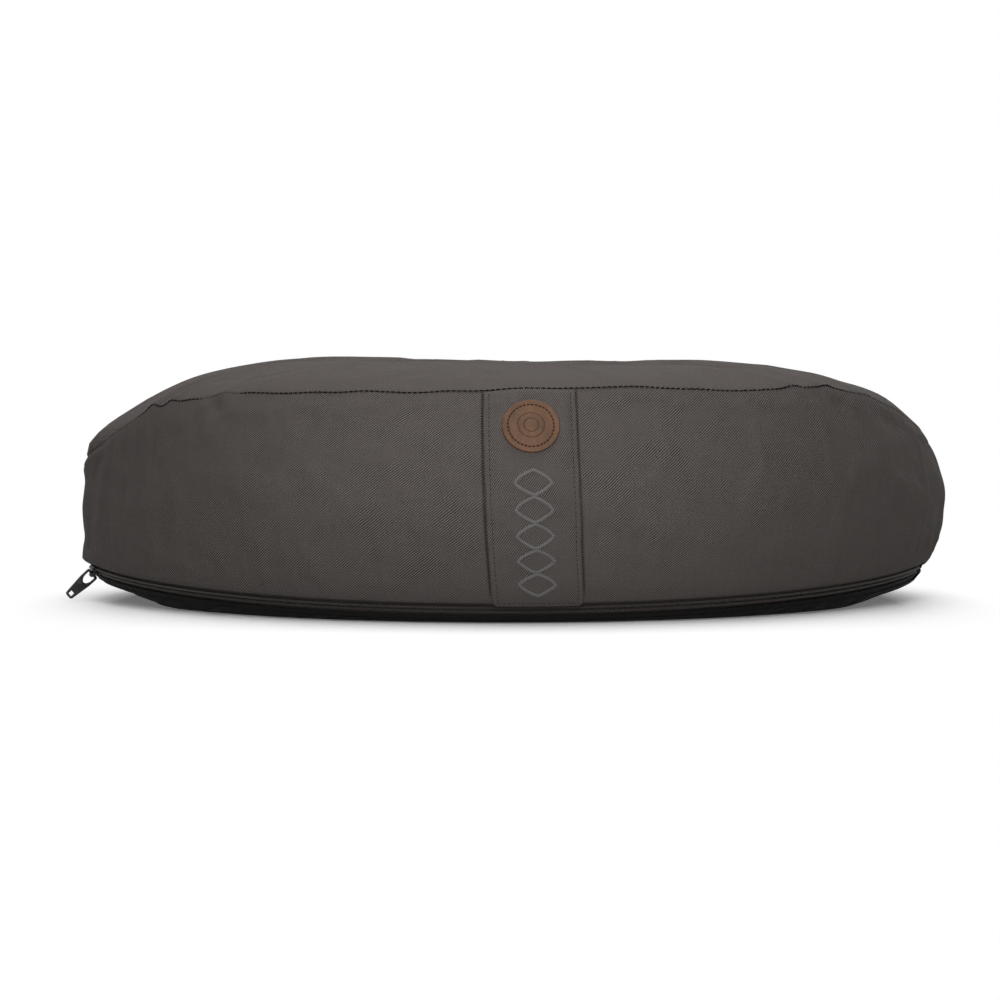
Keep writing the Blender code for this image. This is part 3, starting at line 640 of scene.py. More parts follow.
    def __post_init__(self) -> None:
        """Take the zip's arc from the slider's joint."""
        joint = next(j for j in frame["joints"] if j["name"] == "slider_run")
        self.zip_centre = np.array(joint["pos_m"], float)
        self.zip_axis = unit(np.array(joint["axis"], float))
        self.zip_tilt = math.atan2(-self.zip_axis[1], self.zip_axis[2])
        self.zip_radius = self.plan.front_radius - self.zip_setback
        self.settling: Callable[[Array, Array], Array] | None = None
        self.band_shares = np.linspace(0.0, 1.0, 101)
        middle = np.full(self.band_shares.shape, self.band_place)
        point, normal = self.plan.at(middle)
        self.band_reach = np.sum((self.plain_wall(middle, self.band_shares) - point) * normal, axis=-1)

    @property
    def cloth_face(self) -> float:
        """Level of the hem's face over the zip's tape."""
        return self.gap + self.cloth

    def top_seam(self, s: Array) -> Array:
        """Height of the top seam: its level, less the droop round each horn, plus its unevenness.

        Args:
            s: Distances along the seam.

        Returns:
            The heights.
        """
        plan, s = self.plan, self.plan.folded(s)
        middle = (plan.front_end + plan.horn_end) / 2
        front, back = self.seam_height, self.back_seam_height
        level = plan.around(s, front, (front + back) / 2, back)
        droop = np.where(s >= 0, self.right_droop, self.left_droop)
        height = level - droop * (1 - ease(np.abs(np.abs(s) - middle) / self.droop_reach))
        for place, rise, width in self.puckers:
            height = height + rise * bell(s, place, width)
        fade, wander_height = 0.05, 0.0005
        calm = ease((plan.back_end - np.abs(s)) / fade)
        wander = wander_height * ripples(s, 0.0, wavelength=0.045, seed=5) * calm
        return height + through(s, self.seam_trend) + wander

    def seam_frame(self, s: Array) -> tuple[Array, Array, Array]:
        """Point of the foot seam, with the directions across it and out of it.

        In front the points lie on the zip's arc. Elsewhere they keep to the arc's plane.

        Args:
            s: Distances along the seam.

        Returns:
            The points, the directions up across the seam and those out of it.
        """
        s = self.plan.folded(s)
        point, normal = self.plan.at(s)
        cos, sin = math.cos(self.zip_tilt), math.sin(self.zip_tilt)
        radial = np.stack([normal[..., 0], normal[..., 1] * cos, normal[..., 1] * sin], axis=-1)
        on_arc = self.zip_centre + self.zip_radius * radial
        plan = self.plan
        tuck = self.left_tuck * ease((-s - plan.front_end) / (plan.widest - plan.front_end))
        fade = ease((plan.back_end - np.abs(s)) / (plan.back_end - plan.horn_end))
        off = point - normal * (self.zip_setback + tuck * fade)[..., None]
        off[..., 2] = self.zip_centre[2] + (off[..., 1] - plan.front_y) * math.tan(self.zip_tilt)
        origin = np.where((np.abs(s) <= plan.front_end)[..., None], on_arc, off)
        cos, sin = math.cos(self.zip_facing), math.sin(self.zip_facing)
        return origin, sin * radial + cos * self.zip_axis, cos * radial - sin * self.zip_axis

    def hem_half(self, s: Array) -> Array:
        """Half the width between the hems: the zip's in front, shut elsewhere."""
        shut = ease((np.abs(self.plan.folded(s)) - self.plan.front_end) / self.hem_closing)
        return self.zip_open_half + (self.gap / 2 - self.zip_open_half) * shut

    def hem_point(self, s: Array, across_by: Array | float, out_by: Array | float) -> Array:
        """Point a distance across the foot seam and out of it."""
        origin, across, facing = self.seam_frame(s)
        return origin + across * np.asarray(across_by)[..., None] + facing * np.asarray(out_by)[..., None]

    def under(self, s: Array, start: Array, lift: float, turn: Array) -> tuple[Array, Array]:
        """How far in and how high the base is as it curves under from its hem to the level that it rests at.

        In front and behind that is a quarter of an ellipse. Round the horns it reaches further in and is
        straighter: the cosine and sine of the ellipse are raised to a power.

        Args:
            s: Distances along the seam.
            start: Points where the curve starts.
            lift: Level at which it ends.
            turn: Angles along the curve, from 0 to a quarter turn.

        Returns:
            Distances in and heights, shaped (places, angles).
        """
        place = self.plan.folded(s)
        run = np.abs(place)
        low, high, fade = self.horn_span
        horn = (ease((run - low) / fade) * ease((high - run) / fade))[:, None]
        rise = (start[:, 2] - lift)[:, None]
        furthest = np.where(place < 0, *self.horn_reach)[:, None]
        reach = (self.under_start + self.under_slope * rise) * (1 - horn) + furthest * horn
        power = 1 + (self.horn_power - 1) * horn
        return reach * (1 - np.cos(turn) ** power), lift + rise * (1 - np.sin(turn) ** power)

    def plain_wall(self, s: Array, share: Array) -> Array:
        """Wall's face without its creases: a straight line from hem to seam, bowed out by a parabola.

        Args:
            s: Distances along the seam.
            share: Places up the wall, from 0 at the hem to 1 at the top seam.

        Returns:
            The points.
        """
        s, share = np.broadcast_arrays(s, share)
        point, normal = self.plan.at(s)
        low = self.hem_point(s, self.hem_half(s) + self.hem, self.cloth_face)
        high = point + UP * self.top_seam(s)[..., None]
        side = np.where(self.plan.folded(s) >= 0, self.right_swell, self.left_swell)
        swell = self.plan.around(s, self.front_swell, side, self.back_swell)
        bow = swell - np.sum((low - point) * normal, axis=-1) / 2
        return low + (high - low) * share[..., None] + normal * (bow * 4 * share * (1 - share))[..., None]

    def wall_normal(self, s: Array, share: Array) -> Array:
        """Outward normal of the wall's face."""
        return face_normal(self.plain_wall, s, share, 2e-4)

    def band_station(self, sideways: Array, share: Array) -> Array:
        """Distance along the seam of a point beside the band's middle, at the wall's own radius there.

        Args:
            sideways: Distance from the band's middle, positive to the right.
            share: Place up the wall.

        Returns:
            The distance, which the band's slant and the bow of its left edge shift.
        """
        reach = np.interp(share, self.band_shares, self.band_reach)
        share = np.asarray(share)
        middle = self.band_place + self.band_slant * (1 - share)
        bow = np.where(np.asarray(sideways) < 0, 1 + self.band_bow * 4 * share * (1 - share), 1.0)
        return (middle + sideways * bow) * self.plan.front_radius / (self.plan.front_radius + reach)

    def pressed(self, place: Array, share: Array) -> Array:
        """Depth of the lines that the wall is pressed in along, just outside the band's two edges.

        Args:
            place: Distances along the seam.
            share: Places up the wall.

        Returns:
            The depths: a bell across each line, faded out at the hem.
        """
        total = np.zeros(place.shape)
        for side, depth in zip((-1, 1), self.press_depth):
            edge = self.band_station(side * (self.band_half + self.press_width * 0.7), share)
            total = total + depth * bell(place, edge, self.press_width)
        return total * ease(share / 0.06)

    def wall(self, s: Array, share: Array, level: Array | float = 0.0, pressed: bool = True) -> Array:
        """Wall's face with its dents and creases, or a point at a level over it.

        Args:
            s: Distances along the seam.
            share: Places up the wall.
            level: Distance out from the face.
            pressed: Whether it has the lines that are pressed in beside the band.

        Returns:
            The points.
        """
        s, share = np.broadcast_arrays(s, share)
        place = self.plan.folded(s)
        proud = -self.pressed(place, share) if pressed else np.zeros(s.shape)
        for dent in self.dents:
            proud = proud + dent.at(place, share)
        calm = ease(share / 0.15) * ease((1 - share) / 0.1)
        proud = proud + 0.00035 * ripples(place, share * 0.1, wavelength=0.03, seed=11) * calm
        if self.settling is not None:
            proud = proud + self.settling(place, share)
        return self.plain_wall(s, share) + self.wall_normal(s, share) * (proud + level)[..., None]

    def plain_top(self, s: Array, share: Array) -> Array:
        """Top panel's face without creases: the outline drawn in by a share, domed by a power of it.

        Args:
            s: Distances along the seam.
            share: Places on the panel, from 0 in the middle to 1 at the seam.

        Returns:
            The points.
        """
        s, share = np.broadcast_arrays(s, share)
        point, normal = self.plan.at(s)
        steps_in = (1 - share) / self.belly_share
        near = 1 - ease(np.abs(self.plan.folded(s) - self.belly_middle) / self.belly_reach)
        belly = self.belly * near * steps_in * np.exp(1 - steps_in)
        plan = point * share[..., None] + normal * belly[..., None]
        seam = self.top_seam(s)
        rise = (self.top_height - seam) * (1 - share ** self.shoulder)
        trend = through(plan[..., 0], self.crown_trend) * (1 - share ** self.crown_rim)
        sunk, squareness = 0.4, 12
        rim = self.gap + self.cloth * (sunk + (1 - sunk) * (1 - share ** squareness))
        return plan + UP * (seam + rise + trend + rim)[..., None]

    def top_normal(self, s: Array, share: Array) -> Array:
        """Outward normal of the top panel's face."""
        return -face_normal(self.plain_top, s, share, 5e-4)

    def top(self, s: Array, share: Array, level: float = 0.0) -> Array:
        """Top panel's face with its creases, or a point at a level over it.

        Args:
            s: Distances along the seam.
            share: Places on the panel, from 0 in the middle to 1 at the seam.
            level: Distance out from the face.

        Returns:
            The points.
        """
        s, share = np.broadcast_arrays(s, share)
        plan = self.plan.at(s)[0] * share[..., None]
        calm = ease((1 - share) / 0.12)
        proud = 0.0004 * ripples(plan[..., 0], plan[..., 1], wavelength=0.05, seed=17) * calm
        if self.settling is not None:
            proud = proud + self.settling(self.plan.folded(s), 2.0 - share)
        return self.plain_top(s, share) + self.top_normal(s, share) * (proud + level)[..., None]

    def seam_line(self, s: Array) -> tuple[Array, Array, Array]:
        """Crest of the top seam, just over where wall and top panel meet.

        Args:
            s: Distances along the seam.

        Returns:
            The crest's points, the directions into the cushion and those from wall to top.
        """
        crest_rise, step = 0.0006, 1e-3
        near_seam = np.full(s.shape, 0.995)
        crest = self.plan.at(s)[0] + UP * (self.top_seam(s) + crest_rise)[..., None]
        outward = unit(self.wall_normal(s, near_seam) + self.top_normal(s, near_seam))
        along = unit(self.plan.at(s + step)[0] - self.plan.at(s - step)[0])
        return crest, -outward, -unit(np.cross(outward, along))


@dataclass
class Settling:
    """Creases of the stuffed cloth, from a cloth simulation on a coarse grid.

    The cloth is cut a little larger than the form, its seams a little shorter, and air pressure
    fills it. What the simulation adds to the smooth form, less its broad swell, is kept as heights.

    Attributes:
        columns: Points round the seam.
        wall_rows: Points up the wall.
        top_rows: Points from the top seam in to the middle.
        top_end: The top panel's share where the grid ends.
        ease_in: How much larger the cloth is cut, as a share.
        draw_in: How much shorter the seam is sewn, as a share.
        frames: Simulation steps.
        cap: Largest height that is kept.
        calming: Smoothing passes that find the broad swell.
    """

    columns: int = 288
    wall_rows: int = 29
    top_rows: int = 26
    top_end: float = 0.05
    ease_in: float = 0.004
    draw_in: float = 0.020
    frames: int = 20
    cap: float = 0.0005
    calming: int = 60

    def grid(self, form: Form) -> tuple[Array, Array]:
        """The smooth form on the grid, from the hem up the wall and in over the top.

        Args:
            form: Shape of the cushion.

        Returns:
            Its points and its outward normals, shaped (columns, rows, 3).
        """
        s = form.plan.loop(self.columns)[:, None]
        wall = np.linspace(0, 1, self.wall_rows)[None]
        top = np.linspace(1, self.top_end, self.top_rows)[None, 1:]
        points = np.concatenate([form.plain_wall(s, wall), form.plain_top(s, top)], axis=1)
        return points, np.concatenate([form.wall_normal(s, wall), form.top_normal(s, top)], axis=1)

    def run(self, form: Form) -> Array:
        """Simulate the cloth.

        Args:
            form: Shape of the cushion.

        Returns:
            The cloth's heights over the smooth form on the grid.
        """
        points, outward = self.grid(form)
        columns, rows = points.shape[:2]
        quads = grid_quads(columns, rows, ring=False, loop=True)[2]
        middle = np.arange(columns) * rows + rows - 1
        mesh = bpy.data.meshes.new("settling")
        mesh.from_pydata(points.reshape(-1, 3).tolist(), [], [*quads.tolist(), middle.tolist()])
        cloth_object = linked("settling", mesh)
        held = cloth_object.vertex_groups.new(name="held")
        drawn = cloth_object.vertex_groups.new(name="drawn")
        index = np.arange(columns * rows).reshape(columns, rows)
        seam = self.wall_rows - 1
        for row, weight in ((0, 1.0), (seam, 0.6), (rows - 1, 0.4)):
            held.add(index[:, row].tolist(), weight, "REPLACE")
        for offset, weight in ((0, 1.0), (1, 0.7), (2, 0.35)):
            for row in {seam - offset, seam + offset, offset}:
                drawn.add(index[:, row].tolist(), weight, "REPLACE")
        cloth = cloth_object.modifiers.new("Cloth", "CLOTH")
        options = {
            "quality": 6,
            "mass": 0.25,
            "air_damping": 4.0,
            "tension_stiffness": 20.0,
            "compression_stiffness": 20.0,
            "shear_stiffness": 8.0,
            "bending_stiffness": 1.2,
            "use_pressure": True,
            "uniform_pressure_force": 4.0,
            "vertex_group_mass": held.name,
            "vertex_group_shrink": drawn.name,
            "shrink_min": -self.ease_in,
            "shrink_max": self.draw_in,
        }
        for option, value in options.items():
            setattr(cloth.settings, option, value)
        cloth.settings.effector_weights.gravity = 0.0
        cloth.point_cache.frame_start = 1
        cloth.point_cache.frame_end = self.frames
        scene = bpy.context.scene
        for number in range(1, self.frames + 1):
            scene.frame_set(number)
        settled = cloth_object.evaluated_get(bpy.context.evaluated_depsgraph_get()).data
        places = np.zeros(columns * rows * 3, np.float32)
        settled.vertices.foreach_get("co", places)
        bpy.data.objects.remove(cloth_object)
        scene.frame_set(1)
        moved = places.reshape(columns, rows, 3) - points
        return np.sum(moved * outward, axis=-1)

    def heights(self, form: Form) -> Array:
        """Heights kept on the grid: the simulation's, less their broad swell, capped and tapered.

        Args:
            form: Shape of the cushion.

        Returns:
            The heights, shaped (columns, rows).
        """
        raw = self.run(form)
        broad = raw.copy()
        for _ in range(self.calming):
            broad = (np.roll(broad, 1, 0) + 2 * broad + np.roll(broad, -1, 0)) / 4
            padded = np.pad(broad, ((0, 0), (1, 1)), mode="edge")
            broad = (padded[:, :-2] + 2 * broad + padded[:, 2:]) / 4
        fine = raw - broad
        LOG.info("settling: swell %.1f mm, creases %.2f mm", raw.max() * 1000, np.abs(fine).max() * 1000)
        fine = self.cap * np.tanh(fine / self.cap)
        row = np.arange(fine.shape[1])
        from_seam = np.abs(row - (self.wall_rows - 1))
        taper = (1 - np.exp(-((from_seam / 1.1) ** 2))) * ease(row / 4) * ease((fine.shape[1] - 1 - row) / 3)
        return fine * taper

    def reader(self, form: Form) -> Callable[[Array, Array], Array]:
        """Function that reads the kept heights at a distance and a row place, by smooth interpolation.

        The row place is the wall's share up to 1, and beyond it 2 less the top panel's share.

        Args:
            form: Shape of the cushion.

        Returns:
            The function.
        """
        kept = self.heights(form)
        length = 2 * form.plan.back_end

        def taps(x: Array) -> list[tuple[Array, Array]]:
            """Weights of a cubic curve through the four whole steps round each place.

            Args:
                x: The places.

            Returns:
                The four steps and their weights.
            """
            base = np.floor(x).astype(int)
            t = x - base
            weights = (
                -0.5 * t ** 3 + t ** 2 - 0.5 * t,
                1.5 * t ** 3 - 2.5 * t ** 2 + 1,
                -1.5 * t ** 3 + 2 * t ** 2 + 0.5 * t,
                0.5 * t ** 3 - 0.5 * t ** 2,
            )
            return [(base + k - 1, weight) for k, weight in enumerate(weights)]

        def read(s: Array, place: Array) -> Array:
            """Height at a place: the sum of its 16 neighbours by their weights.

            Args:
                s: Distances along the seam.
                place: Row places.

            Returns:
                The heights.
            """
            column = (s + form.plan.back_end) / length * self.columns
            on_wall = np.clip(place, 0, 1) * (self.wall_rows - 1)
            on_top = np.clip((place - 1) / (1 - self.top_end), 0, 1) * (self.top_rows - 1)
            total = np.zeros(np.broadcast(column, on_wall).shape)
            for i, a in taps(column):
                for j, b in taps(on_wall + on_top):
                    total = total + a * b * kept[i % self.columns, np.clip(j, 0, kept.shape[1] - 1)]
            return total

        return read


class Graph:
    """Adds nodes to a tree and wires them, so that a finish reads as a few formulas."""

    def __init__(self, tree: bpy.types.NodeTree) -> None:
        """Keep the tree."""
        self.tree = tree

    def give(self, node: bpy.types.Node, values: dict) -> None:
        """Set a node's inputs, and link those whose value is a socket.

        Args:
            node: The node.
            values: Values or sockets by the inputs' names or numbers.
        """
        for key, value in values.items():
            if isinstance(value, Socket):
                self.tree.links.new(value, node.inputs[key])
            else:
                node.inputs[key].default_value = value

    def add(self, kind: str, values: dict | None = None, **settings: object) -> bpy.types.Node:
        """Add a node.

        Args:
            kind: Its type, without the word that all shader nodes start with.
            values: Values or sockets of its inputs.
            **settings: Its own options.

        Returns:
            The node.
        """
        node = self.tree.nodes.new("ShaderNode" + kind)
        for key, value in settings.items():
            setattr(node, key, value)
        self.give(node, values or {})
        return node

    def use(self, effect: bpy.types.NodeTree, **values: object) -> bpy.types.NodeOutputs:
        """Outputs of a node group whose inputs are given by name."""
        return self.add("Group", values, node_tree=effect).outputs

    def flat(self) -> Socket:
        """Texture places, in metres on the piece as it unfolds."""
        return self.add("UVMap", uv_map="UVMap").outputs[0]

    def solid(self) -> Socket:
        """Places in space, in metres."""
        return self.add("TexCoord").outputs["Object"]

    def parts(self, place: Socket) -> bpy.types.NodeOutputs:
        """A place's separate coordinates."""
        return self.add("SeparateXYZ", {0: place}).outputs

    def math(self, operation: str, a: object, b: object = 0.0) -> Socket:
        """One sum of two numbers."""
        return self.add("Math", {0: a, 1: b}, operation=operation).outputs[0]

    def plus(self, a: object, b: object) -> Socket:
        """Sum of two numbers."""
        return self.math("ADD", a, b)

    def minus(self, a: object, b: object) -> Socket:
        """First number less the second."""
        return self.math("SUBTRACT", a, b)

    def times(self, a: object, b: object) -> Socket:
        """Product of two numbers."""
        return self.math("MULTIPLY", a, b)

    def wave(self, distance: object, length: object, shift: object = 0.0) -> Socket:
        """Sine wave from 0 to 1 over a distance, moved on by an angle."""
        turns = self.times(self.math("DIVIDE", distance, length), 2 * math.pi)
        return self.times(self.plus(self.math("SINE", self.plus(turns, shift)), 1.0), 0.5)

    def noise(self, place: Socket, scale: float, detail: float = 2.0, roughness: float = 0.5) -> Socket:
        """Soft noise from 0 to 1."""
        values = {"Vector": place, "Scale": scale, "Detail": detail, "Roughness": roughness}
        return self.add("TexNoise", values).outputs["Fac"]

    def cells(self, place: Socket, scale: float, **settings: object) -> bpy.types.NodeOutputs:
        """Pattern of cells."""
        return self.add("TexVoronoi", {"Vector": place, "Scale": scale}, **settings).outputs

    def stretch(self, place: Socket, scale: tuple[float, float, float], turn: float = 0.0) -> Socket:
        """Texture places scaled and turned."""
        values = {"Vector": place, "Scale": scale, "Rotation": (0.0, 0.0, turn)}
        return self.add("Mapping", values).outputs[0]

    def blend(self, share: object, first: object, second: object) -> Socket:
        """Colour between two colours."""
        return self.add("Mix", {0: share, 6: first, 7: second}, data_type="RGBA").outputs[2]

    def spread(self, value: object, low: float, high: float, start: float = 0.0, end: float = 1.0) -> Socket:
        """Value moved from one range to another, and kept inside it."""
        values = {0: value, 1: low, 2: high, 3: start, 4: end}
        return self.add("MapRange", values, clamp=True).outputs[0]

    def relief(self, height: object, depth: float, strength: float) -> Socket:
        """Bumpy normal from a height of 0 to 1 and a depth in metres."""
        return self.add("Bump", {"Height": height, "Distance": depth, "Strength": strength}).outputs["Normal"]


def rgba(colour: Colour, gain: float = 1.0) -> tuple[float, float, float, float]:
    """Colour with full opacity, brightened or darkened."""
    return (*[min(c * gain, 1.0) for c in colour], 1.0)


def effect(name: str, lengths: dict[str, float], outputs: list[str], wire: Callable) -> bpy.types.NodeTree:
    """Shader node group over texture places, made once.

    Args:
        name: The group's name.
        lengths: Names and defaults of its inputs beside the texture places.
        outputs: Names of the value outputs.
        wire: Function of a Graph and the input sockets that returns the output sockets by name.

    Returns:
        The group.
    """
    found = bpy.data.node_groups.get(name)
    if found is not None:
        return found
    tree = bpy.data.node_groups.new(name, "ShaderNodeTree")
    tree.interface.new_socket("Place", in_out="INPUT", socket_type="NodeSocketVector")
    for label, default in lengths.items():
        socket = tree.interface.new_socket(label, in_out="INPUT", socket_type="NodeSocketFloat")
        socket.default_value = default
    for label in outputs:
        tree.interface.new_socket(label, in_out="OUTPUT", socket_type="NodeSocketFloat")
    given = tree.nodes.new("NodeGroupInput")
    result = tree.nodes.new("NodeGroupOutput")
    graph = Graph(tree)
    graph.give(result, wire(graph, given.outputs))
    return tree


def weave_effect() -> bpy.types.NodeTree:
    """Twill: ridges across a slant, beaded where the yarns cross, with thick and thin yarns, and painted
    shade in the hollows between the ridges.

    Returns:
        The node group.
    """

    def wire(g: Graph, given: bpy.types.NodeOutputs) -> dict[str, Socket]:
        """Height is ridge and bead together. Tone is that height again as painted highlight on the ridges and
        painted shade in the hollows, plus the yarns' unevenness.
        """
        place, pitch = given["Place"], given["Pitch"]
        u, v = g.parts(place)[:2]
        sin, cos = g.math("SINE", given["Slant"]), g.math("COSINE", given["Slant"])
        wander = g.times(g.minus(g.noise(place, 70.0, detail=4.0), 0.5), 0.0016)
        across = g.plus(g.minus(g.times(v, cos), g.times(u, sin)), wander)
        half_turns = g.times(g.math("DIVIDE", across, pitch), math.pi)
        bead = g.wave(g.times(u, 2 * 0.62), pitch, half_turns)
        height = g.plus(g.times(g.wave(across, pitch), 0.86), g.times(bead, 0.14))
        warp = g.noise(g.stretch(place, (1500.0, 40.0, 1.0)), 1.0)
        weft = g.noise(g.stretch(place, (40.0, 1500.0, 1.0)), 1.0)
        yarns = g.times(g.plus(warp, weft), 0.5)
        fuzz = g.noise(place, 2600.0, roughness=0.6)
        clear = g.spread(g.noise(place, 70.0), 0.35, 0.65, 0.25, 1.0)
        # painted highlight and shade: the weave's height makes the ridges lighter and the hollows darker in
        # colour
        painted_ridge_shade = g.times(g.minus(height, 0.5), g.times(clear, 0.62))
        tone = g.plus(g.plus(painted_ridge_shade, 0.30), g.times(yarns, 0.12))
        return {
            "Height": g.plus(height, g.times(fuzz, 0.35)),
            "Tone": g.plus(tone, g.times(fuzz, 0.42)),
        }

    return effect("twill_weave", {"Pitch": 0.0012, "Slant": 0.6}, ["Height", "Tone"], wire)


def handling_effect() -> bpy.types.NodeTree:
    """Signs of handling: broad soft blotches and a few specks of lint.

    Returns:
        The node group.
    """

    def wire(g: Graph, given: bpy.types.NodeOutputs) -> dict[str, Socket]:
        """Blotches are broad noise, and specks are the peaks of fine noise."""
        place = given["Place"]
        fine = g.noise(place, 900.0, detail=1.0, roughness=0.4)
        thin = g.noise(g.stretch(place, (300.0, 120.0, 200.0), turn=0.7), 1.0, detail=1.0)
        specks = g.times(g.spread(fine, 0.74, 0.80), g.spread(thin, 0.55, 0.62))
        return {"Blotch": g.noise(place, 14.0, detail=3.0, roughness=0.55), "Specks": specks}

    return effect("handling", {}, ["Blotch", "Specks"], wire)


def twist_effect() -> bpy.types.NodeTree:
    """Twisted thread: slanting ridges round it, with the fibres' fine noise.

    Returns:
        The node group.
    """

    def wire(g: Graph, given: bpy.types.NodeOutputs) -> dict[str, Socket]:
        """Ridges run at a slant over distance along and round the thread."""
        u, v = g.parts(given["Place"])[:2]
        ridge = g.wave(g.plus(u, g.times(v, 0.8)), given["Pitch"])
        fibres = g.noise(g.stretch(given["Place"], (900.0, 4000.0, 1.0)), 1.0)
        return {"Height": g.plus(ridge, g.times(fibres, 0.4))}

    return effect("thread_twist", {"Pitch": 0.0006}, ["Height"], wire)


@dataclass(frozen=True)
class Finish:
    """A finish that one or more pieces share.

    Attributes:
        name: The material's name.
        colour: Its middle colour, linear.
    """

    name: str
    colour: Colour

    def material(self) -> bpy.types.Material:
        """The material, made once.

        Returns:
            The material.
        """
        made = bpy.data.materials.get(self.name)
        if made is None:
            made = bpy.data.materials.new(self.name)
            made.use_nodes = True
            graph = Graph(made.node_tree)
            graph.give(made.node_tree.nodes["Principled BSDF"], self.inputs(graph))
        return made

    def tint(self, gain: float = 1.0) -> tuple[float, float, float, float]:
        """The finish's colour, brightened or darkened."""
        return rgba(self.colour, gain)

    def inputs(self, g: Graph) -> dict[str, object]:
        """Look of the finish. Each kind has its own.

        Args:
            g: Graph of the material.

        Returns:
            Values and sockets of the shader's inputs, by name.
        """
        raise NotImplementedError


@dataclass(frozen=True)
class Cloth(Finish):
    """Woven cloth.

    Attributes:
        pitch: Distance between the twill's ridges.
        slant: Their slope from the texture's first axis.
        ridge_shade_contrast: How much lighter the raised yarns are.
        depth: Depth of the weave.
        lint: How bright the specks of lint are.
        lint_colour: Their colour.
    """

    pitch: float = 0.00100
    slant: float = math.radians(42.0)
    ridge_shade_contrast: float = 0.9
    depth: float = 0.00030
    lint: float = 0.6
    lint_colour: Colour = (0.32, 0.30, 0.29)

    def inputs(self, g: Graph) -> dict[str, object]:
        """Colour follows the weave as painted highlight and shade, and follows the yarns and the handling;
        roughness follows the blotches.
        """
        weave = g.use(weave_effect(), Place=g.flat(), Pitch=self.pitch, Slant=self.slant)
        wear = g.use(handling_effect(), Place=g.solid())
        tone = g.spread(weave["Tone"], 0.35, 0.75)
        # painted highlight on the weave's ridges and painted shade in its hollows, spread between the darker
        # and lighter tints
        colour = g.blend(tone, self.tint(1 - self.ridge_shade_contrast), self.tint(1 + self.ridge_shade_contrast))
        colour = g.blend(g.times(g.spread(wear["Blotch"], 0.3, 0.7), 0.16), colour, self.tint(1.6))
        return {
            "Base Color": g.blend(g.times(wear["Specks"], self.lint), colour, rgba(self.lint_colour)),
            "Roughness": g.spread(wear["Blotch"], 0.2, 0.8, 0.84, 0.95),
            "Specular IOR Level": 0.15,
            "Sheen Weight": 0.03,
            "Sheen Roughness": 0.55,
            "Normal": g.relief(weave["Height"], self.depth, strength=0.6),
        }


@dataclass(frozen=True)
class Thread(Finish):
    """Sewing or embroidery thread.

    Attributes:
        pitch: Distance between the ridges of its twist, or between satin stitches.
        gloss: Its roughness.
        depth: Depth of its ridges.
        shine: Strength of its reflections.
    """

    pitch: float = 0.0006
    gloss: float = 0.7
    depth: float = 0.00008
    shine: float = 0.08

    def inputs(self, g: Graph) -> dict[str, object]:
        """Ridges of the twist are painted lighter and the hollows between them painted darker, as painted
        highlight and shade.
        """
        height = g.use(twist_effect(), Place=g.flat(), Pitch=self.pitch)["Height"]
        return {
            # painted highlight on the twist's ridges and painted shade in its hollows
            "Base Color": g.blend(g.spread(height, 0.1, 1.3), self.tint(0.55), self.tint(1.35)),
            "Roughness": self.gloss,
            "Specular IOR Level": self.shine,
            "Normal": g.relief(height, self.depth, strength=0.7),
        }


@dataclass(frozen=True)
class Leather(Finish):
    """Tan vegetable-tanned leather with fine grain, darker in its pressed lines and at its edge.

    Attributes:
        grain: Grain cells in a metre.
        mark_colour: Colour of the pressed lines.
    """

    grain: float = 900.0
    mark_colour: Colour = (0.055, 0.024, 0.012)

    def inputs(self, g: Graph) -> dict[str, object]:
        """Grain from cells and noise, darkened by the piece's own press marks."""
        place = g.flat()
        pores = g.spread(g.cells(place, self.grain, feature="DISTANCE_TO_EDGE")["Distance"], 0.0, 0.12)
        clouds = g.noise(place, 130.0, detail=5.0, roughness=0.68)
        pressed = g.add("Attribute", attribute_name=PRESS_MARK).outputs["Fac"]
        colour = g.blend(g.spread(clouds, 0.3, 0.7), self.tint(0.55), self.tint(1.50))
        colour = g.blend(g.times(g.minus(1.0, pores), 0.35), colour, self.tint(0.5))
        height = g.plus(g.times(pores, 0.6), g.times(clouds, 0.5))
        return {
            "Base Color": g.blend(pressed, colour, rgba(self.mark_colour)),
            "Roughness": g.spread(clouds, 0.2, 0.8, 0.46, 0.62),
            "Specular IOR Level": 0.4,
            "Normal": g.relief(height, depth=0.00012, strength=0.6),
        }


@dataclass(frozen=True)
class Lacquer(Finish):
    """Dark lacquer over cast zinc, rubbed through a little in scattered spots.

    Attributes:
        gloss: Its roughness.
        scuff_colour: Colour of the metal that shows in the scuffs.
    """

    gloss: float = 0.38
    scuff_colour: Colour = (0.16, 0.16, 0.165)

    def inputs(self, g: Graph) -> dict[str, object]:
        """Fine orange peel, with lighter scuffs where noise peaks."""
        place = g.solid()
        peel = g.noise(place, 2500.0)
        scuffs = g.spread(g.noise(place, 700.0, detail=4.0, roughness=0.7), 0.56, 0.70)
        return {
            "Base Color": g.blend(g.times(scuffs, 0.5), self.tint(), rgba(self.scuff_colour)),
            "Roughness": g.spread(peel, 0.3, 0.7, self.gloss - 0.08, self.gloss + 0.1),
            "Metallic": 0.55,
            "Normal": g.relief(peel, depth=0.00003, strength=0.5),
        }


@dataclass(frozen=True)
class Nylon(Finish):
    """Drawn nylon of the zip's coil.

    Attributes:
        gloss: Its roughness.
    """

    gloss: float = 0.42

    def inputs(self, g: Graph) -> dict[str, object]:
        """Slight cloudiness along the wire."""
        clouds = g.noise(g.solid(), 900.0, detail=3.0)
        return {
            "Base Color": g.blend(g.spread(clouds, 0.3, 0.7), self.tint(0.7), self.tint(1.3)),
            "Roughness": g.spread(clouds, 0.3, 0.7, self.gloss, self.gloss + 0.15),
            "Normal": g.relief(clouds, depth=0.00003, strength=0.4),
        }


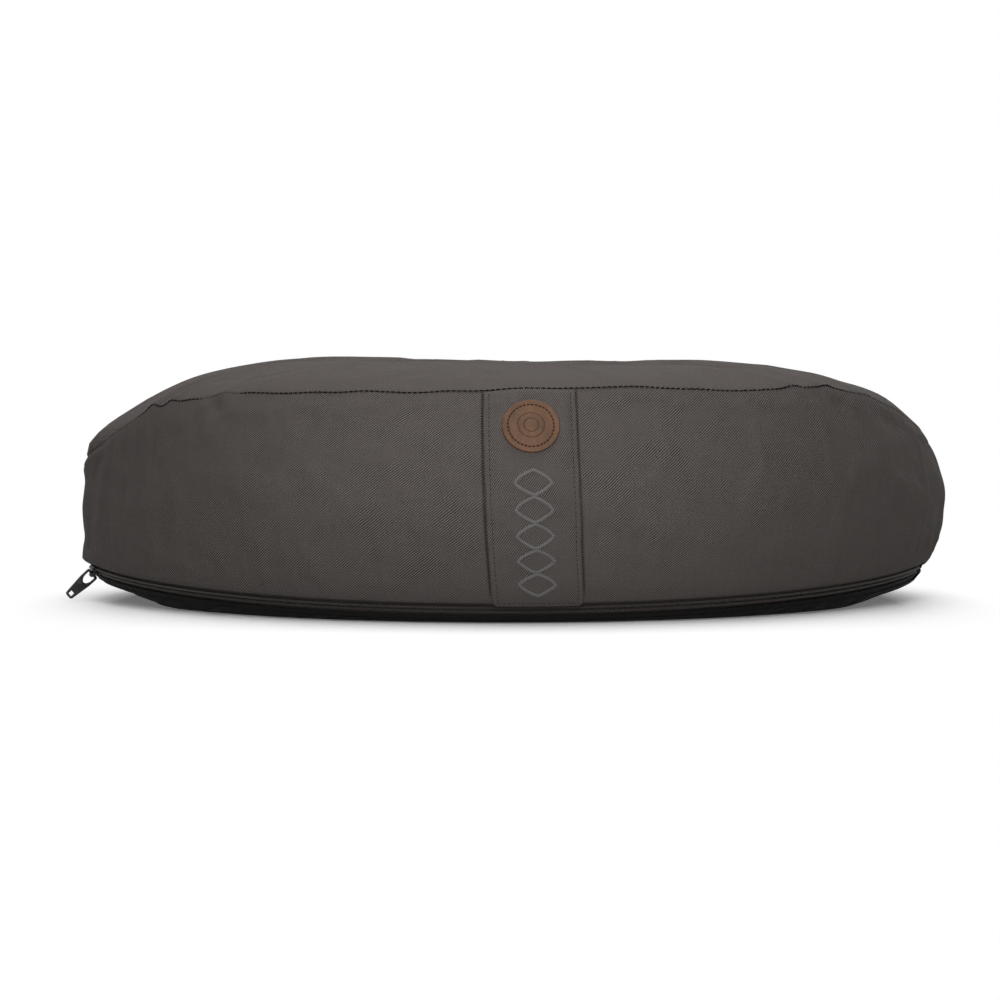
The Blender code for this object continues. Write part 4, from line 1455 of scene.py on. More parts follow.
@dataclass(frozen=True)
class Hulls(Finish):
    """Loose buckwheat hulls: small cells, each its own brown.

    Attributes:
        grain: Hulls in a metre.
    """

    grain: float = 190.0

    def inputs(self, g: Graph) -> dict[str, object]:
        """Cells of about the size of a hull, with painted shade in the gaps between them."""
        place = g.solid()
        own = g.add("SeparateColor", {0: g.cells(place, self.grain)["Color"]}).outputs[0]
        edges = g.cells(place, self.grain, feature="DISTANCE_TO_EDGE")["Distance"]
        rim = g.spread(edges, 0.0, 0.15)
        return {
            # painted shade: the colour goes dark in the gaps between the hulls
            "Base Color": g.blend(rim, self.tint(0.2), g.blend(own, self.tint(0.5), self.tint(1.9))),
            "Roughness": g.spread(own, 0.0, 1.0, 0.6, 0.85),
            "Normal": g.relief(rim, depth=0.0008, strength=0.8),
        }


PRESS_MARK = "pressed"
DIAGONAL = math.radians(45.0)
TWILL = Cloth("woven_twill", (0.124, 0.109, 0.1015))
BAND_TWILL = Cloth("woven_band_twill", (0.121, 0.107, 0.100), pitch=0.00090, slant=math.radians(54.0))
BASE_CLOTH = Cloth("base_cloth", (0.013, 0.012, 0.0115), 0.0008, DIAGONAL, ridge_shade_contrast=0.45, lint=0.15)
TAPE_CLOTH = Cloth("zip_tape_cloth", (0.080, 0.068, 0.065), 0.0012, 0.0, ridge_shade_contrast=0.4, lint=0.1)
CALICO = Cloth("calico", (0.62, 0.56, 0.45), 0.0007, DIAGONAL, ridge_shade_contrast=0.12, lint=0.0)
SEAM_THREAD = Thread("seam_thread_black", (0.007, 0.006, 0.006))
PATCH_THREAD = Thread("patch_thread_brown", (0.075, 0.020, 0.011))
BAND_THREAD = Thread("band_thread_dark", (0.062, 0.055, 0.053))
ORNAMENT_THREAD = Thread(
    "ornament_thread_grey", (0.188, 0.177, 0.173), pitch=0.0010, gloss=0.45, depth=0.0002, shine=0.3
)
LEATHER = Leather("tan_leather", (0.156, 0.075, 0.036))
LACQUER = Lacquer("zip_lacquer", (0.030, 0.030, 0.032))
NYLON = Nylon("zip_nylon", (0.078, 0.066, 0.063))
HULLS = Hulls("buckwheat_hulls", (0.075, 0.042, 0.024))


@dataclass
class Cover:
    """The four cloth panels of the cover and the threads of their seams.

    Attributes:
        form: Shape of the cushion.
        roll: Radius with which a panel's edge turns in at a seam.
        allowance: Width of cloth turned in behind a seam.
        groove: Width of the top seam's groove.
        front_columns: Points along the front wall.
        back_columns: Points along the back wall.
        ring_columns: Points round the top and bottom panels.
        wall_rows: Points up a wall's face.
        top_rows: Points from the top seam in to the middle.
        base_rows: Points along the base's curve under.
        lining_rows: Points up the inner side of a wall.
        roll_bulge: How far that curve bulges out, in front, at the right, at the back and at the left.
        thread_depth: How deep the top seam's stitches lie, as (distance, depth) points.
    """

    form: Form
    roll: float = 0.0012
    allowance: float = 0.003
    groove: float = 0.0011
    front_columns: int = 380
    back_columns: int = 300
    ring_columns: int = 620
    wall_rows: int = 60
    top_rows: int = 40
    base_rows: int = 12
    lining_rows: int = 14
    roll_bulge: tuple[float, float, float, float] = (0.0008, 0.0022, 0.0015, 0.0008)
    thread_depth: tuple = (
        (-0.50, 0.0003), (-0.40, 0.0003), (-0.35, 0.0008), (-0.222, 0.0008), (-0.207, 0.0003),
        (-0.170, 0.0003), (-0.162, 0.0009), (-0.142, 0.0009), (-0.133, 0.0001), (-0.110, 0.0001),
        (-0.104, 0.0003), (-0.096, 0.0001), (-0.072, 0.0001), (-0.063, 0.0003), (-0.052, 0.0001),
        (-0.038, 0.0003), (-0.028, 0.0), (0.066, 0.0), (0.076, 0.00032), (0.090, 0.0003),
        (0.097, 0.0001), (0.107, 0.00032), (0.134, 0.00034), (0.144, 0.0001), (0.155, 0.0001),
        (0.159, 0.0007), (0.164, 0.0001), (0.177, 0.0001), (0.186, 0.0006), (0.205, 0.0007),
        (0.35, 0.0007), (0.40, 0.0003),
    )

    def turned(self, face: Array, s: Array, side: int) -> Array:
        """Points that turn a panel's edge in at the top seam.

        They follow a quadratic curve from the last face point, past the crest, to a point inside,
        and then go straight in by the allowance. Half the groove keeps the two panels' edges apart.

        Args:
            face: Last points of the face, shaped (n, 3).
            s: Distances along the seam.
            side: 1 for the top panel and -1 for a wall.

        Returns:
            Points shaped (n, 5, 3), from just past the face to the end of the allowance.
        """
        crest, inward, across = self.form.seam_line(s)
        lean = across * side * self.groove / 2
        depth, closing = self.roll * 1.3, 0.5
        inside = crest + inward * depth + lean * closing
        step = np.array([0.25, 0.5, 0.75, 1.0])[None, :, None]
        way = (1 - step) ** 2, 2 * step * (1 - step), step ** 2
        curve = sum(point[:, None] * share for point, share in zip((face, crest + lean, inside), way))
        return np.concatenate([curve, (inside + inward * self.allowance)[:, None]], axis=1)

    def hem_edge(self, s: Array, side: int) -> Array:
        """Points round the edge of a hem, from its hidden side to its face.

        Args:
            s: Distances along the seam.
            side: 1 for a wall's hem, over the zip, and -1 for the base's, under it.

        Returns:
            The points, shaped (n, 7 or 8, 3).
        """
        form = self.form
        half, face = form.hem_half(s), form.cloth_face
        edge = [
            (form.hem, form.gap), (0.0006, form.gap), (0.0001, form.gap + 0.0003), (0.0, form.gap + 0.0007),
            (0.0002, face - 0.0002), (0.0007, face), (form.hem * 0.55, face + 0.0001),
        ]
        if side > 0:
            edge.append((form.hem * 0.8, face))
        return np.stack([form.hem_point(s, side * (half + a), b) for a, b in edge], axis=1)

    def wall_section(self, s: Array) -> Array:
        """Closed sections of a wall: round its hem, up the face, in at the seam, and back down inside.

        Args:
            s: Distances along the seam.

        Returns:
            The points, shaped (n, rows, 3).
        """
        form = self.form
        crowding, height = 0.05, 0.1
        t = np.linspace(0, 1, self.wall_rows)
        share = (t - crowding * np.sin(2 * np.pi * t)) * (1 - self.roll / height)
        outer = form.wall(s[:, None], share[None])
        lining_share = np.linspace(0.985, 0.0, self.lining_rows)
        lining = form.wall(s[:, None], lining_share[None], -form.cloth)
        return np.concatenate([self.hem_edge(s, 1), outer, self.turned(outer[:, -1], s, -1), lining], axis=1)

    def wall_piece(self, name: str, start: float, end: float, columns: int) -> bpy.types.Object:
        """A wall from one side seam to the other, its ends turned in by a quarter circle.

        Args:
            name: The object's name.
            start: Distance of its first side seam.
            end: Distance of its second side seam.
            columns: Points along it, beside the finer ones at the band's edges.

        Returns:
            The object.
        """
        form, roll = self.form, self.roll
        near = np.array([0.0, 0.0, 0.08, 0.3, 0.65, 1.0, 1.6]) * roll
        margin, fine_step = 0.0035, 0.0002
        middle = np.linspace(start + 2.4 * roll, end - 2.4 * roll, columns)
        for side in (-1, 1):
            stations = form.band_station(side * form.band_half, np.array([1.0, 0.0]))
            low, high = min(stations) - margin, max(stations) + margin
            if start < low < end:
                finer = np.linspace(low, high, int((high - low) / fine_step))
                middle = np.sort(np.concatenate([middle[(middle < low) | (middle > high)], finer]))
        s = np.concatenate([start + near, middle, (end - near)[::-1]])
        section = self.wall_section(s)
        dip = roll * (1 - round_over(np.minimum(s - start, end - s) / roll))
        dip[[0, -1]] += self.allowance
        points = section - form.plan.at(s)[1][:, None] * dip[:, None, None]
        rise = running(section[len(s) // 2])
        uv = texture_grid(s, np.append(rise, rise[-1] + 0.001))
        return build(name, [swept_shell(points, uv)], TWILL)

    def top_piece(self) -> bpy.types.Object:
        """Top panel: domed face, edge turned in at the seam, and its inner side.

        Returns:
            The object.
        """
        form, s = self.form, self.form.plan.loop(self.ring_columns)
        middle, rim = 0.04, 1 - 0.012 * 0.55
        share = (middle + (1 - middle) * np.linspace(0, 1, self.top_rows) ** 0.8) * rim
        outer = form.top(s[:, None], share[None])
        inner = form.top(s[:, None], share[::-1][2::3][None], -form.cloth)
        points = np.concatenate([outer, self.turned(outer[:, -1], s, 1), inner], axis=1)
        return build("cover_top", [domed_shell(points, level_tips(points))], TWILL)

    def base_profile(self, s: Array, level: float, lift: float) -> Array:
        """Points from the lower hem, curving under to the flat base, and on towards the middle.

        The curve is the form's own, with a bulge near its start: the root of the way along it times
        what is left of it, raised to a peak of about 1.

        Args:
            s: Distances along the seam.
            level: Level over the zip's tape where the curve starts.
            lift: Height of the flat base.

        Returns:
            The points, shaped (n, rows, 3).
        """
        form = self.form
        start = form.hem_point(s, -form.hem_half(s) - form.hem, level)
        part = np.linspace(0.08, 1.0, self.base_rows)
        reach, height = form.under(s, start, lift, part * np.pi / 2)
        front, right, back, left = self.roll_bulge
        bulge = form.plan.around(s, front, np.where(form.plan.folded(s) >= 0, right, left), back)
        peak = 2.6
        inward = reach - bulge[:, None] * peak * np.sqrt(part) * (1 - part)
        return drawn_in(start, form.plan.at(s)[1], inward, height, (0.85, 0.65, 0.4, 0.15), lift)

    def base_piece(self) -> bpy.types.Object:
        """Bottom panel: hem beside the zip, a soft curve under, and the flat that it rests on.

        Returns:
            The object.
        """
        form, s = self.form, self.form.plan.loop(self.ring_columns)
        outer = self.base_profile(s, form.cloth_face, 0.0)
        inner = self.base_profile(s, form.gap, form.cloth)[:, ::-1]
        run = form.plan.folded(s)[:, None]
        row = np.arange(outer.shape[1])[None]
        size = 0.0006 + 0.0010 * bell(run, -0.13, 0.09) + 0.0006 * bell(run, 0.2, 0.05)
        size = size * bell(row, 5, 4.5)
        crumple = size * ripples(run + row * 0.0022, row * 0.0006, wavelength=0.016, seed=23)
        outer = outer + form.plan.at(s)[1][:, None] * crumple[..., None]
        points = np.concatenate([outer[:, ::-1], self.hem_edge(s, -1)[:, ::-1], inner[:, :-1]], axis=1)
        return build("cover_base", [domed_shell(points, (np.zeros(3), UP * form.cloth))], BASE_CLOTH)

    def seam_stitches(self) -> bpy.types.Object:
        """Stitches that show in the groove of the top seam.

        Returns:
            The object.
        """
        s = self.form.plan.loop(self.ring_columns)
        crest, inward, _ = self.form.seam_line(s)
        path = crest + inward * through(self.form.plan.folded(s), self.thread_depth)[:, None]
        row = stitches(path, -inward, pitch=0.0027, length=0.0024, radius=0.00036, loop=True)
        return build("top_seam_stitches", row, SEAM_THREAD)

    def foot_stitches(self) -> bpy.types.Object:
        """Stitches that show in the shut foot seam, round the horns and the back.

        Returns:
            The object.
        """
        form = self.form
        shut = form.plan.front_end + form.hem_closing
        s = np.linspace(shut, 2 * form.plan.back_end - shut, 420)
        path = form.hem_point(s, 0.0, form.cloth_face - 0.0004)
        row = stitches(path, form.seam_frame(s)[2], pitch=0.0032, length=0.0025, radius=0.00035)
        return build("foot_seam_stitches", row, SEAM_THREAD)

    def make(self) -> None:
        """Build and place every piece of the cover."""
        widest, half = self.form.plan.widest, self.form.gap / 2
        top = show(self.top_piece(), "cushion", "top_panel")
        front = self.wall_piece("cover_front", -widest + half, widest - half, self.front_columns)
        show(front, "cushion", "front_wall")
        round_back = 2 * self.form.plan.back_end - widest
        back = self.wall_piece("cover_back", widest + half, round_back - half, self.back_columns)
        show(back, "cushion", "back_wall")
        base = show(self.base_piece(), "cushion", "bottom_panel")
        show(self.seam_stitches(), "cushion", "top_seam_thread")
        show(self.foot_stitches(), "cushion", "foot_seam_thread")


@dataclass
class Zip:
    """Coil zip along the foot of the front: tapes, coils, slider and pull.

    Attributes:
        form: Shape of the cushion, which holds the zip's line.
        end_margin: How far the coils stop short of the front arc's ends.
        tape_thickness: Thickness of a tape.
        tape_shy: How far a tape stays inside its hem.
        slit: Width of the slit between the two coils.
        coil_width: Width of a coil.
        coil_height: Height of a coil.
        coil_pitch: Distance from one turn to the next.
        wire: Radius of the coil's wire.
        slider_length: Length of the slider.
        slider_wall: Thickness of its plates.
        slider_end_margin: How far it stops short of the coil's end.
        bail_width: Width of the bail.
        bail_opening: Length of its opening.
        pin: Thickness of the pull's end bar.
        play: Play between the bar and the slider.
        pull_length: Length of the pull beyond its pivot.
        pull_root: Width of the pull at its window.
        pull_tip: Width at its tip.
        pull_thickness: Its thickness.
        pull_window: Length of its window.
        pull_rim: Width of metal round the window and the hole.
        pull_hole: Side of the small hole at its tip.
    """

    form: Form
    end_margin: float = 0.0055
    tape_thickness: float = 0.0005
    tape_shy: float = 0.0005
    slit: float = 0.001
    coil_width: float = 0.0018
    coil_height: float = 0.0016
    coil_pitch: float = 0.00125
    wire: float = 0.00030
    slider_length: float = 0.0085
    slider_wall: float = 0.0008
    slider_end_margin: float = 0.0002
    bail_width: float = 0.0016
    bail_opening: float = 0.0036
    pin: float = 0.0012
    play: float = 0.0004
    pull_length: float = 0.0172
    pull_root: float = 0.0071
    pull_tip: float = 0.0044
    pull_thickness: float = 0.0012
    pull_window: float = 0.0058
    pull_rim: float = 0.0012
    pull_hole: float = 0.0022

    @property
    def coil_end(self) -> float:
        """Distance to the last turn of the coils."""
        return self.form.plan.front_end - self.end_margin

    @property
    def rest(self) -> float:
        """Distance of the slider at rest, at the left end."""
        return -(self.coil_end - self.slider_length / 2 - self.slider_end_margin)

    @property
    def plate_low(self) -> float:
        """Level of the slider's upper plate."""
        return 2 * self.form.gap + self.coil_height

    @property
    def half_width(self) -> float:
        """Half the slider's width."""
        return self.slit / 2 + self.coil_width + self.form.gap + self.slider_wall

    @property
    def pin_level(self) -> float:
        """Level of the pull's pivot."""
        return self.plate_low + self.slider_wall + self.pin / 2 + self.play

    def tape(self, side: int) -> Shell:
        """One tape: a flat strip from the slit to just inside its hem, its section swept along the zip.

        Args:
            side: 1 for the upper tape and -1 for the lower one.

        Returns:
            The tape.
        """
        form = self.form
        tucked = form.plan.front_end + form.hem_closing
        s = np.linspace(-tucked, tucked, 420)
        low, high = np.full(s.shape, self.slit / 2), form.hem_half(s) + form.hem - self.tape_shy
        t, rim = self.tape_thickness, 0.00012
        corners = [
            (low, rim - t), (low + rim, -t), (high - rim, -t), (high, rim - t), (high, -rim),
            (high - rim, 0.0), (low + (high - low) * 0.66, 0.0), (low + (high - low) * 0.33, 0.0),
            (low + rim, 0.0), (low, -rim),
        ]
        section = np.stack([form.hem_point(s, side * a, b) for a, b in corners], axis=1)
        uv = texture_grid(s, np.array([a.mean() for a, _ in corners] + [self.slit / 2]))
        return swept_shell(section, uv)

    def coil(self, side: int) -> Shell:
        """One coil: a wire wound as a flattened helix along the zip's arc.

        Args:
            side: 1 for the upper coil and -1 for the lower one.

        Returns:
            The wire.
        """
        form = self.form
        steps, sides = 10, 6
        reach = self.coil_end - self.wire
        turns = int(2 * reach * form.zip_radius / form.plan.front_radius / self.coil_pitch)
        angle = np.arange(turns * steps + 1) * 2 * np.pi / steps
        s = -reach + 2 * reach * angle / angle[-1]
        half_width, half_height = self.coil_width / 2, self.coil_height / 2
        across_by = side * (self.slit / 2 + half_width + (half_width - self.wire) * np.cos(angle))
        out_by = form.gap + half_height + (half_height - self.wire) * np.sin(angle)
        _, across, facing = form.seam_frame(s)
        radial = across * (side * np.cos(angle))[:, None] + facing * np.sin(angle)[:, None]
        return tube(form.hem_point(s, across_by, out_by), radial, self.wire, sides)

    def placed(self, points: Array) -> Array:
        """Points given as (along, across, out) moved to the slider's place on the arc at rest."""
        origin, across, facing = self.form.seam_frame(np.array(self.rest))
        return origin + points @ np.stack([np.cross(across, facing), across, facing])

    def plate(self, outline: Array, low: float, high: float) -> Shell:
        """Plate over a rounded outline: rings drawn in at both faces, so that its edges are soft.

        Args:
            outline: Points round it, as (along, across).
            low: Level of its lower face.
            high: Level where its upper face starts to crown.

        Returns:
            The plate.
        """
        bevel = 0.00018
        drawn = 1 - 2 * bevel / 0.003
        rings = [(0.5, low), (drawn, low), (1.0, low + bevel), (1.0, high - bevel), (drawn, high),
                 (0.5, high + bevel / 3)]
        rows = [np.column_stack([outline * share, np.full(len(outline), level)]) for share, level in rings]
        tips = self.placed(np.array([(0.0, 0.0, low), (0.0, 0.0, high + bevel / 2)]))
        return domed_shell(self.placed(np.stack(rows, axis=1)), tuple(tips))

    def block(self, sections: list[Array] | Array) -> Shell:
        """Closed body on the slider.

        Args:
            sections: Its sections, each a ring of (along, across, out) points.

        Returns:
            The body.
        """
        sections = np.array(sections)
        uv = np.concatenate([sections, sections[:, :1]], axis=1)[..., :2]
        return swept_shell(self.placed(sections), uv)

    def waist(self, along: Array) -> Array:
        """Width of the slider as a share of its widest: narrower towards its open end."""
        return 1 - 0.16 * ease((along / (self.slider_length / 2) + 0.2) / 1.2)

    def flange(self, side: int) -> Shell:
        """Flange along one edge of the slider, with its outer corners cut.

        Args:
            side: 1 for the upper edge and -1 for the lower one.

        Returns:
            The flange.
        """
        wall, low = self.slider_wall, self.form.gap
        height = self.plate_low + wall * 0.4 - low
        run = np.linspace(-0.39, 0.39, 9) * self.slider_length
        edge = side * (self.half_width - wall / 2) * self.waist(run)
        corners = [(-0.5, 0.0), (-0.5, 0.9), (-0.3, 1.0), (0.3, 1.0), (0.5, 0.9), (0.5, 0.12), (0.3, 0.0)]
        x, y = np.array(corners).T
        ones = np.ones(len(corners))
        rows = [np.column_stack([ones * r, e + x * wall * 0.9, low + y * height]) for r, e in zip(run, edge)]
        return self.block(rows)

    def bail(self) -> Shell:
        """Arched bail that holds the pull's bar: a rounded strip bent over a squared half circle.

        Returns:
            The bail.
        """
        thickness, squareness, steps = 0.0004, 0.6, 17
        foot = self.plate_low + self.slider_wall * 0.6
        rise = self.pin_level + self.pin / 2 + self.play + thickness - foot
        arch = np.linspace(0, np.pi, steps)
        line_x = (self.bail_opening / 2 + thickness) * squared(np.cos(arch), squareness)
        path = np.column_stack([line_x, np.zeros(steps), foot + rise * np.sin(arch) ** squareness])
        tangent = unit(np.gradient(path, axis=0))
        outward = np.column_stack([-tangent[:, 2], np.zeros(steps), tangent[:, 0]])
        ring = np.linspace(0, 2 * np.pi, 12, endpoint=False)[None, :, None]
        flat = squared(np.cos(ring), squareness) * self.bail_width / 2
        thick = squared(np.sin(ring), squareness) * thickness
        return self.block(path[:, None] + np.array([0, 1.0, 0]) * flat + outward[:, None] * thick)

    def slider_shells(self) -> list[Shell]:
        """Slider: two plates, flanges that hold the coils, a divider and an arched bail.

        Returns:
            Its closed surfaces.
        """
        half, wall, top = self.slider_length / 2, self.slider_wall, self.plate_low
        turn = np.linspace(0, 2 * np.pi, 48, endpoint=False)
        x = half * squared(np.cos(turn), 0.55)
        outline = np.column_stack([x, self.half_width * self.waist(x) * squared(np.sin(turn), 0.42)])
        bottom = -self.tape_thickness - self.form.gap
        plates = [self.plate(outline, top, top + wall), self.plate(outline, bottom - wall, bottom)]
        thin, low, high = 0.0002, bottom - wall / 2, top + wall / 2
        post = [(-thin, low), (thin, low), (thin, high), (-thin, high)]
        divider = self.block([np.column_stack([np.full(4, r), post]) for r in (half * 0.35, half * 0.9)])
        return [*plates, self.flange(-1), self.flange(1), divider, self.bail()]

    def pull_outlines(self) -> list[Array]:
        """Outlines of the pull, its D-shaped window and its small hole, with rounded corners.

        Returns:
            The outlines, as (across, along) points.
        """
        root, tip, pin, window = self.pull_root / 2, self.pull_tip / 2, self.pin / 2, self.pull_window

        def rounded(right: list[tuple[float, float]], radius: float) -> Array:
            """Outline whose corners are cut by short quadratic curves.

            Args:
                right: Corners of its right half, from its foot up.
                radius: How far along both sides each curve reaches.

            Returns:
                Points of the whole outline.
            """
            corners = np.roll(right + [(-x, y) for x, y in reversed(right)], 1, axis=0)
            made = []
            for before, here, after in zip(np.roll(corners, 1, 0), corners, np.roll(corners, -1, 0)):
                first = here + (before - here) * min(radius / np.linalg.norm(before - here), 0.5)
                last = here + (after - here) * min(radius / np.linalg.norm(after - here), 0.5)
                steps = np.linspace(0, 1, 5)[:, None]
                made.append(first * (1 - steps) ** 2 + here * 2 * steps * (1 - steps) + last * steps ** 2)
            return np.vstack(made)

        body = rounded([(root, -pin), (root, window - pin), (tip, self.pull_length)], 0.0013)
        arc = np.linspace(0, np.pi, 13)
        wide, straight = root - self.pull_rim, pin + window * 0.35
        bow = np.column_stack([wide * np.cos(arc), straight + (pin + window - straight) * np.sin(arc)])
        foot = pin + 0.0002
        opening = np.vstack([[(-wide, foot), (wide, foot)], bow])
        side, low = self.pull_hole / 2, self.pull_length - self.pull_rim - self.pull_hole
        return [body, opening, rounded([(side, low), (side, low + self.pull_hole)], 0.0003)]

    def pull_piece(self) -> bpy.types.Object:
        """Pull: a tapered tab with a window and a hole, its edges rounded.

        A flat curve with two holes is filled and thickened, made a mesh, and put in its place.

        Returns:
            The object.
        """
        bevel = 0.00022
        curve = bpy.data.curves.new("pull_outline", "CURVE")
        curve.dimensions = "2D"
        curve.fill_mode = "BOTH"
        curve.extrude = self.pull_thickness / 2 - bevel
        curve.bevel_depth = bevel
        curve.bevel_resolution = 2
        curve.offset = -bevel
        for outline in self.pull_outlines():
            level, weight = np.zeros(len(outline)), np.ones(len(outline))
            spline = curve.splines.new("POLY")
            spline.points.add(len(outline) - 1)
            spline.points.foreach_set("co", np.column_stack([outline, level, weight]).ravel())
            spline.use_cyclic_u = True
        holder = linked("pull_outline", curve)
        bpy.context.view_layer.update()
        mesh = bpy.data.meshes.new_from_object(holder.evaluated_get(bpy.context.evaluated_depsgraph_get()))
        bpy.data.objects.remove(holder)
        flat = np.array([vertex.co for vertex in mesh.vertices])
        local = np.column_stack([flat[:, 2], flat[:, 0], flat[:, 1] + self.pin_level])
        mesh.vertices.foreach_set("co", self.placed(local).astype(np.float32).ravel())
        mesh.name = "zip_pull_tab"
        mesh.materials.clear()
        mesh.materials.append(LACQUER.material())
        item = linked("zip_pull_tab", mesh)
        clean_mesh(mesh)
        return item

    def make(self) -> None:
        """Build and place every piece of the zip."""
        for side, word in ((1, "upper"), (-1, "lower")):
            tape = build(f"tape_{word}", [self.tape(side)], TAPE_CLOTH)
            show(tape, "cushion", f"zip_tape_{word}")
            coil = build(f"coil_{word}", [self.coil(side)], NYLON, smooth_angle=80.0)
            show(coil, "cushion", f"zip_coil_{word}")
        show(build("slider_body", self.slider_shells(), LACQUER), "slider", "zip_slider")
        show(self.pull_piece(), "pull", "zip_pull")


def clean_mesh(mesh: bpy.types.Mesh) -> None:
    """Merge a mesh's doubled points, face it outwards and shade it smooth up to an angle.

    Args:
        mesh: The mesh, which is changed in place.
    """
    doubled, smooth_angle = 1e-6, 40.0
    builder = bmesh.new()
    builder.from_mesh(mesh)
    bmesh.ops.remove_doubles(builder, verts=builder.verts[:], dist=doubled)
    bmesh.ops.recalc_face_normals(builder, faces=builder.faces[:])
    builder.to_mesh(mesh)
    builder.free()
    mesh.shade_smooth()
    mesh.set_sharp_from_angle(angle=math.radians(smooth_angle))


@dataclass
class Band:
    """Carry band down the front, with its stitching, leather patch and embroidery.

    Attributes:
        form: Shape of the cushion.
        cloth: Its thickness.
        corner: Radius of its lower corners.
        foot: How far above the zip's middle it ends.
        stitch_inset: Distance of the stitching from its edges.
        patch_diameter: Diameter of the patch.
        patch_thickness: Its thickness.
        patch_drop: How far its middle lies below the top seam.
        patch_stitch_inset: Distance of its stitches from its edge.
        patch_rise: How far the level from which its height counts lies over the band's face.
        rings: Radii of the pressed rings.
        ring_width: Half width of a pressed ring.
        motifs: Number of lozenges.
        motif_width: Width of a lozenge.
        motif_length: Length of a lozenge down the band.
        motif_line: Width of its outline.
        motif_relief: Height of its outline.
        motif_drop: How far the row starts below the top seam.
    """

    form: Form
    cloth: float = 0.0014
    corner: float = 0.0036
    foot: float = 0.004
    stitch_inset: float = 0.0026
    patch_diameter: float = 0.027
    patch_thickness: float = 0.0016
    patch_drop: float = 0.0212
    patch_stitch_inset: float = 0.0028
    patch_rise: float = 0.0003
    rings: tuple[float, float] = (0.0062, 0.0034)
    ring_width: float = 0.00028
    motifs: int = 5
    motif_width: float = 0.0185
    motif_length: float = 0.0126
    motif_line: float = 0.0018
    motif_relief: float = 0.0008
    motif_drop: float = 0.0425

    def __post_init__(self) -> None:
        """Measure the wall down the band's middle."""
        self.shares = np.linspace(1.0, 0.0, 201)
        middle = np.full(self.shares.shape, self.form.band_place)
        self.drops = running(self.form.plain_wall(middle, self.shares))

    @property
    def width(self) -> float:
        """Width of the band."""
        return 2 * self.form.band_half

    @property
    def length(self) -> float:
        """Length of the band from the top seam to its foot."""
        return self.drops[-1] + self.form.zip_open_half + self.form.hem - self.foot

    @property
    def patch_seat(self) -> float:
        """Level over the wall from which the patch's height counts."""
        return self.form.gap + self.cloth + self.patch_rise

    def share_at(self, drop: Array) -> Array:
        """Share of the wall's height at a distance down from the top seam."""
        return np.interp(drop, self.drops, self.shares)

    def on(self, sideways: Array, drop: Array, level: Array | float) -> Array:
        """Point at a level over the wall, or over the hem below it.

        Args:
            sideways: Distance from the band's middle, positive to the right.
            drop: Distance down from the top seam.
            level: Distance out from the wall's face.

        Returns:
            The points.
        """
        sideways, drop = np.broadcast_arrays(sideways, drop)
        share = self.share_at(drop)
        below = drop - self.drops[-1]
        s = self.form.band_station(sideways, share)
        level = np.broadcast_to(level, drop.shape)
        on_wall = self.form.wall(s, share, level, pressed=False)
        across_by = self.form.zip_open_half + self.form.hem - np.maximum(below, 0.0)
        on_hem = self.form.hem_point(s, across_by, self.form.cloth_face + level)
        return np.where((below > 0)[..., None], on_hem, on_wall)

    def lift(self, sideways: Array, drop: Array) -> Array:
        """Height of the band's face over its seat: soft edges, sunk stitch lines and a slight puff.

        Args:
            sideways: Distance from the band's middle.
            drop: Distance down from the top seam.

        Returns:
            The heights.
        """
        near = np.minimum(self.width / 2 - np.abs(sideways), self.length - drop)
        rounded = round_over(near / 0.0009)
        sunk = 0.00030 * bell(near, self.stitch_inset, 0.0007)
        puff = 0.0004 * ease((near - self.stitch_inset) / 0.006)
        puff = puff + 0.00018 * ripples(sideways, drop, wavelength=0.012, seed=31)
        return self.form.gap + (self.cloth - sunk) * rounded + puff * ease(near / 0.003)

    def strip(self) -> Shell:
        """The band: a raised strip with rounded lower corners, closed underneath.

        Its points lie closer together near its edges, by powers of the distance from them.

        Returns:
            The strip.
        """
        columns, rows = 57, 110
        margin, tuck_reach, tuck_depth = 0.004, 0.0026, 0.0040
        t = np.linspace(-1, 1, columns)
        across = np.sign(t) * (1 - (1 - np.abs(t)) ** 1.6)
        drop = self.length * (1 - (1 - np.linspace(0, 1, rows)) ** 1.12)[:, None]
        inset = self.corner * (1 - round_over((self.length - drop) / self.corner))
        half = self.width / 2 - inset + 0.00025 * ripples(drop, 0.0, wavelength=0.02, seed=37)
        sideways = half * across
        nominal = np.sign(sideways) * (self.width / 2 - (half - np.abs(sideways)))
        inner = np.abs(sideways) * self.width / 2 <= (self.width / 2 - margin) * half
        upper = self.on(sideways, drop, self.lift(np.where(inner, sideways, nominal), drop))
        outward = self.form.plan.at(self.form.band_station(sideways, self.share_at(drop)))[1]
        upper = upper - outward * ease(1 - drop / tuck_reach)[..., None] * tuck_depth
        under_sideways = half * across[::-4][1:-1]
        under = self.on(under_sideways, drop, self.form.gap * 0.6)
        flat = np.concatenate([sideways, under_sideways, sideways[:, :1]], axis=1)
        uv = np.stack([flat, np.broadcast_to(-drop, flat.shape)], axis=-1)
        return swept_shell(np.concatenate([upper, under], axis=1), uv)

    def row(self, sideways: Array, drop: Array, level: Array | float, *sizes: float, loop: bool) -> list:
        """Row of stitches that lie a little over a level on the wall.

        Args:
            sideways: The row's distances from the band's middle.
            drop: Its distances down from the top seam.
            level: The level.
            *sizes: Pitch, length and radius of the stitches.
            loop: Whether the row is closed.

        Returns:
            One closed surface for each stitch.
        """
        level = level + 0.00002
        path = self.on(sideways, drop, level)
        return stitches(path, unit(self.on(sideways, drop, level + 0.001) - path), *sizes, loop)

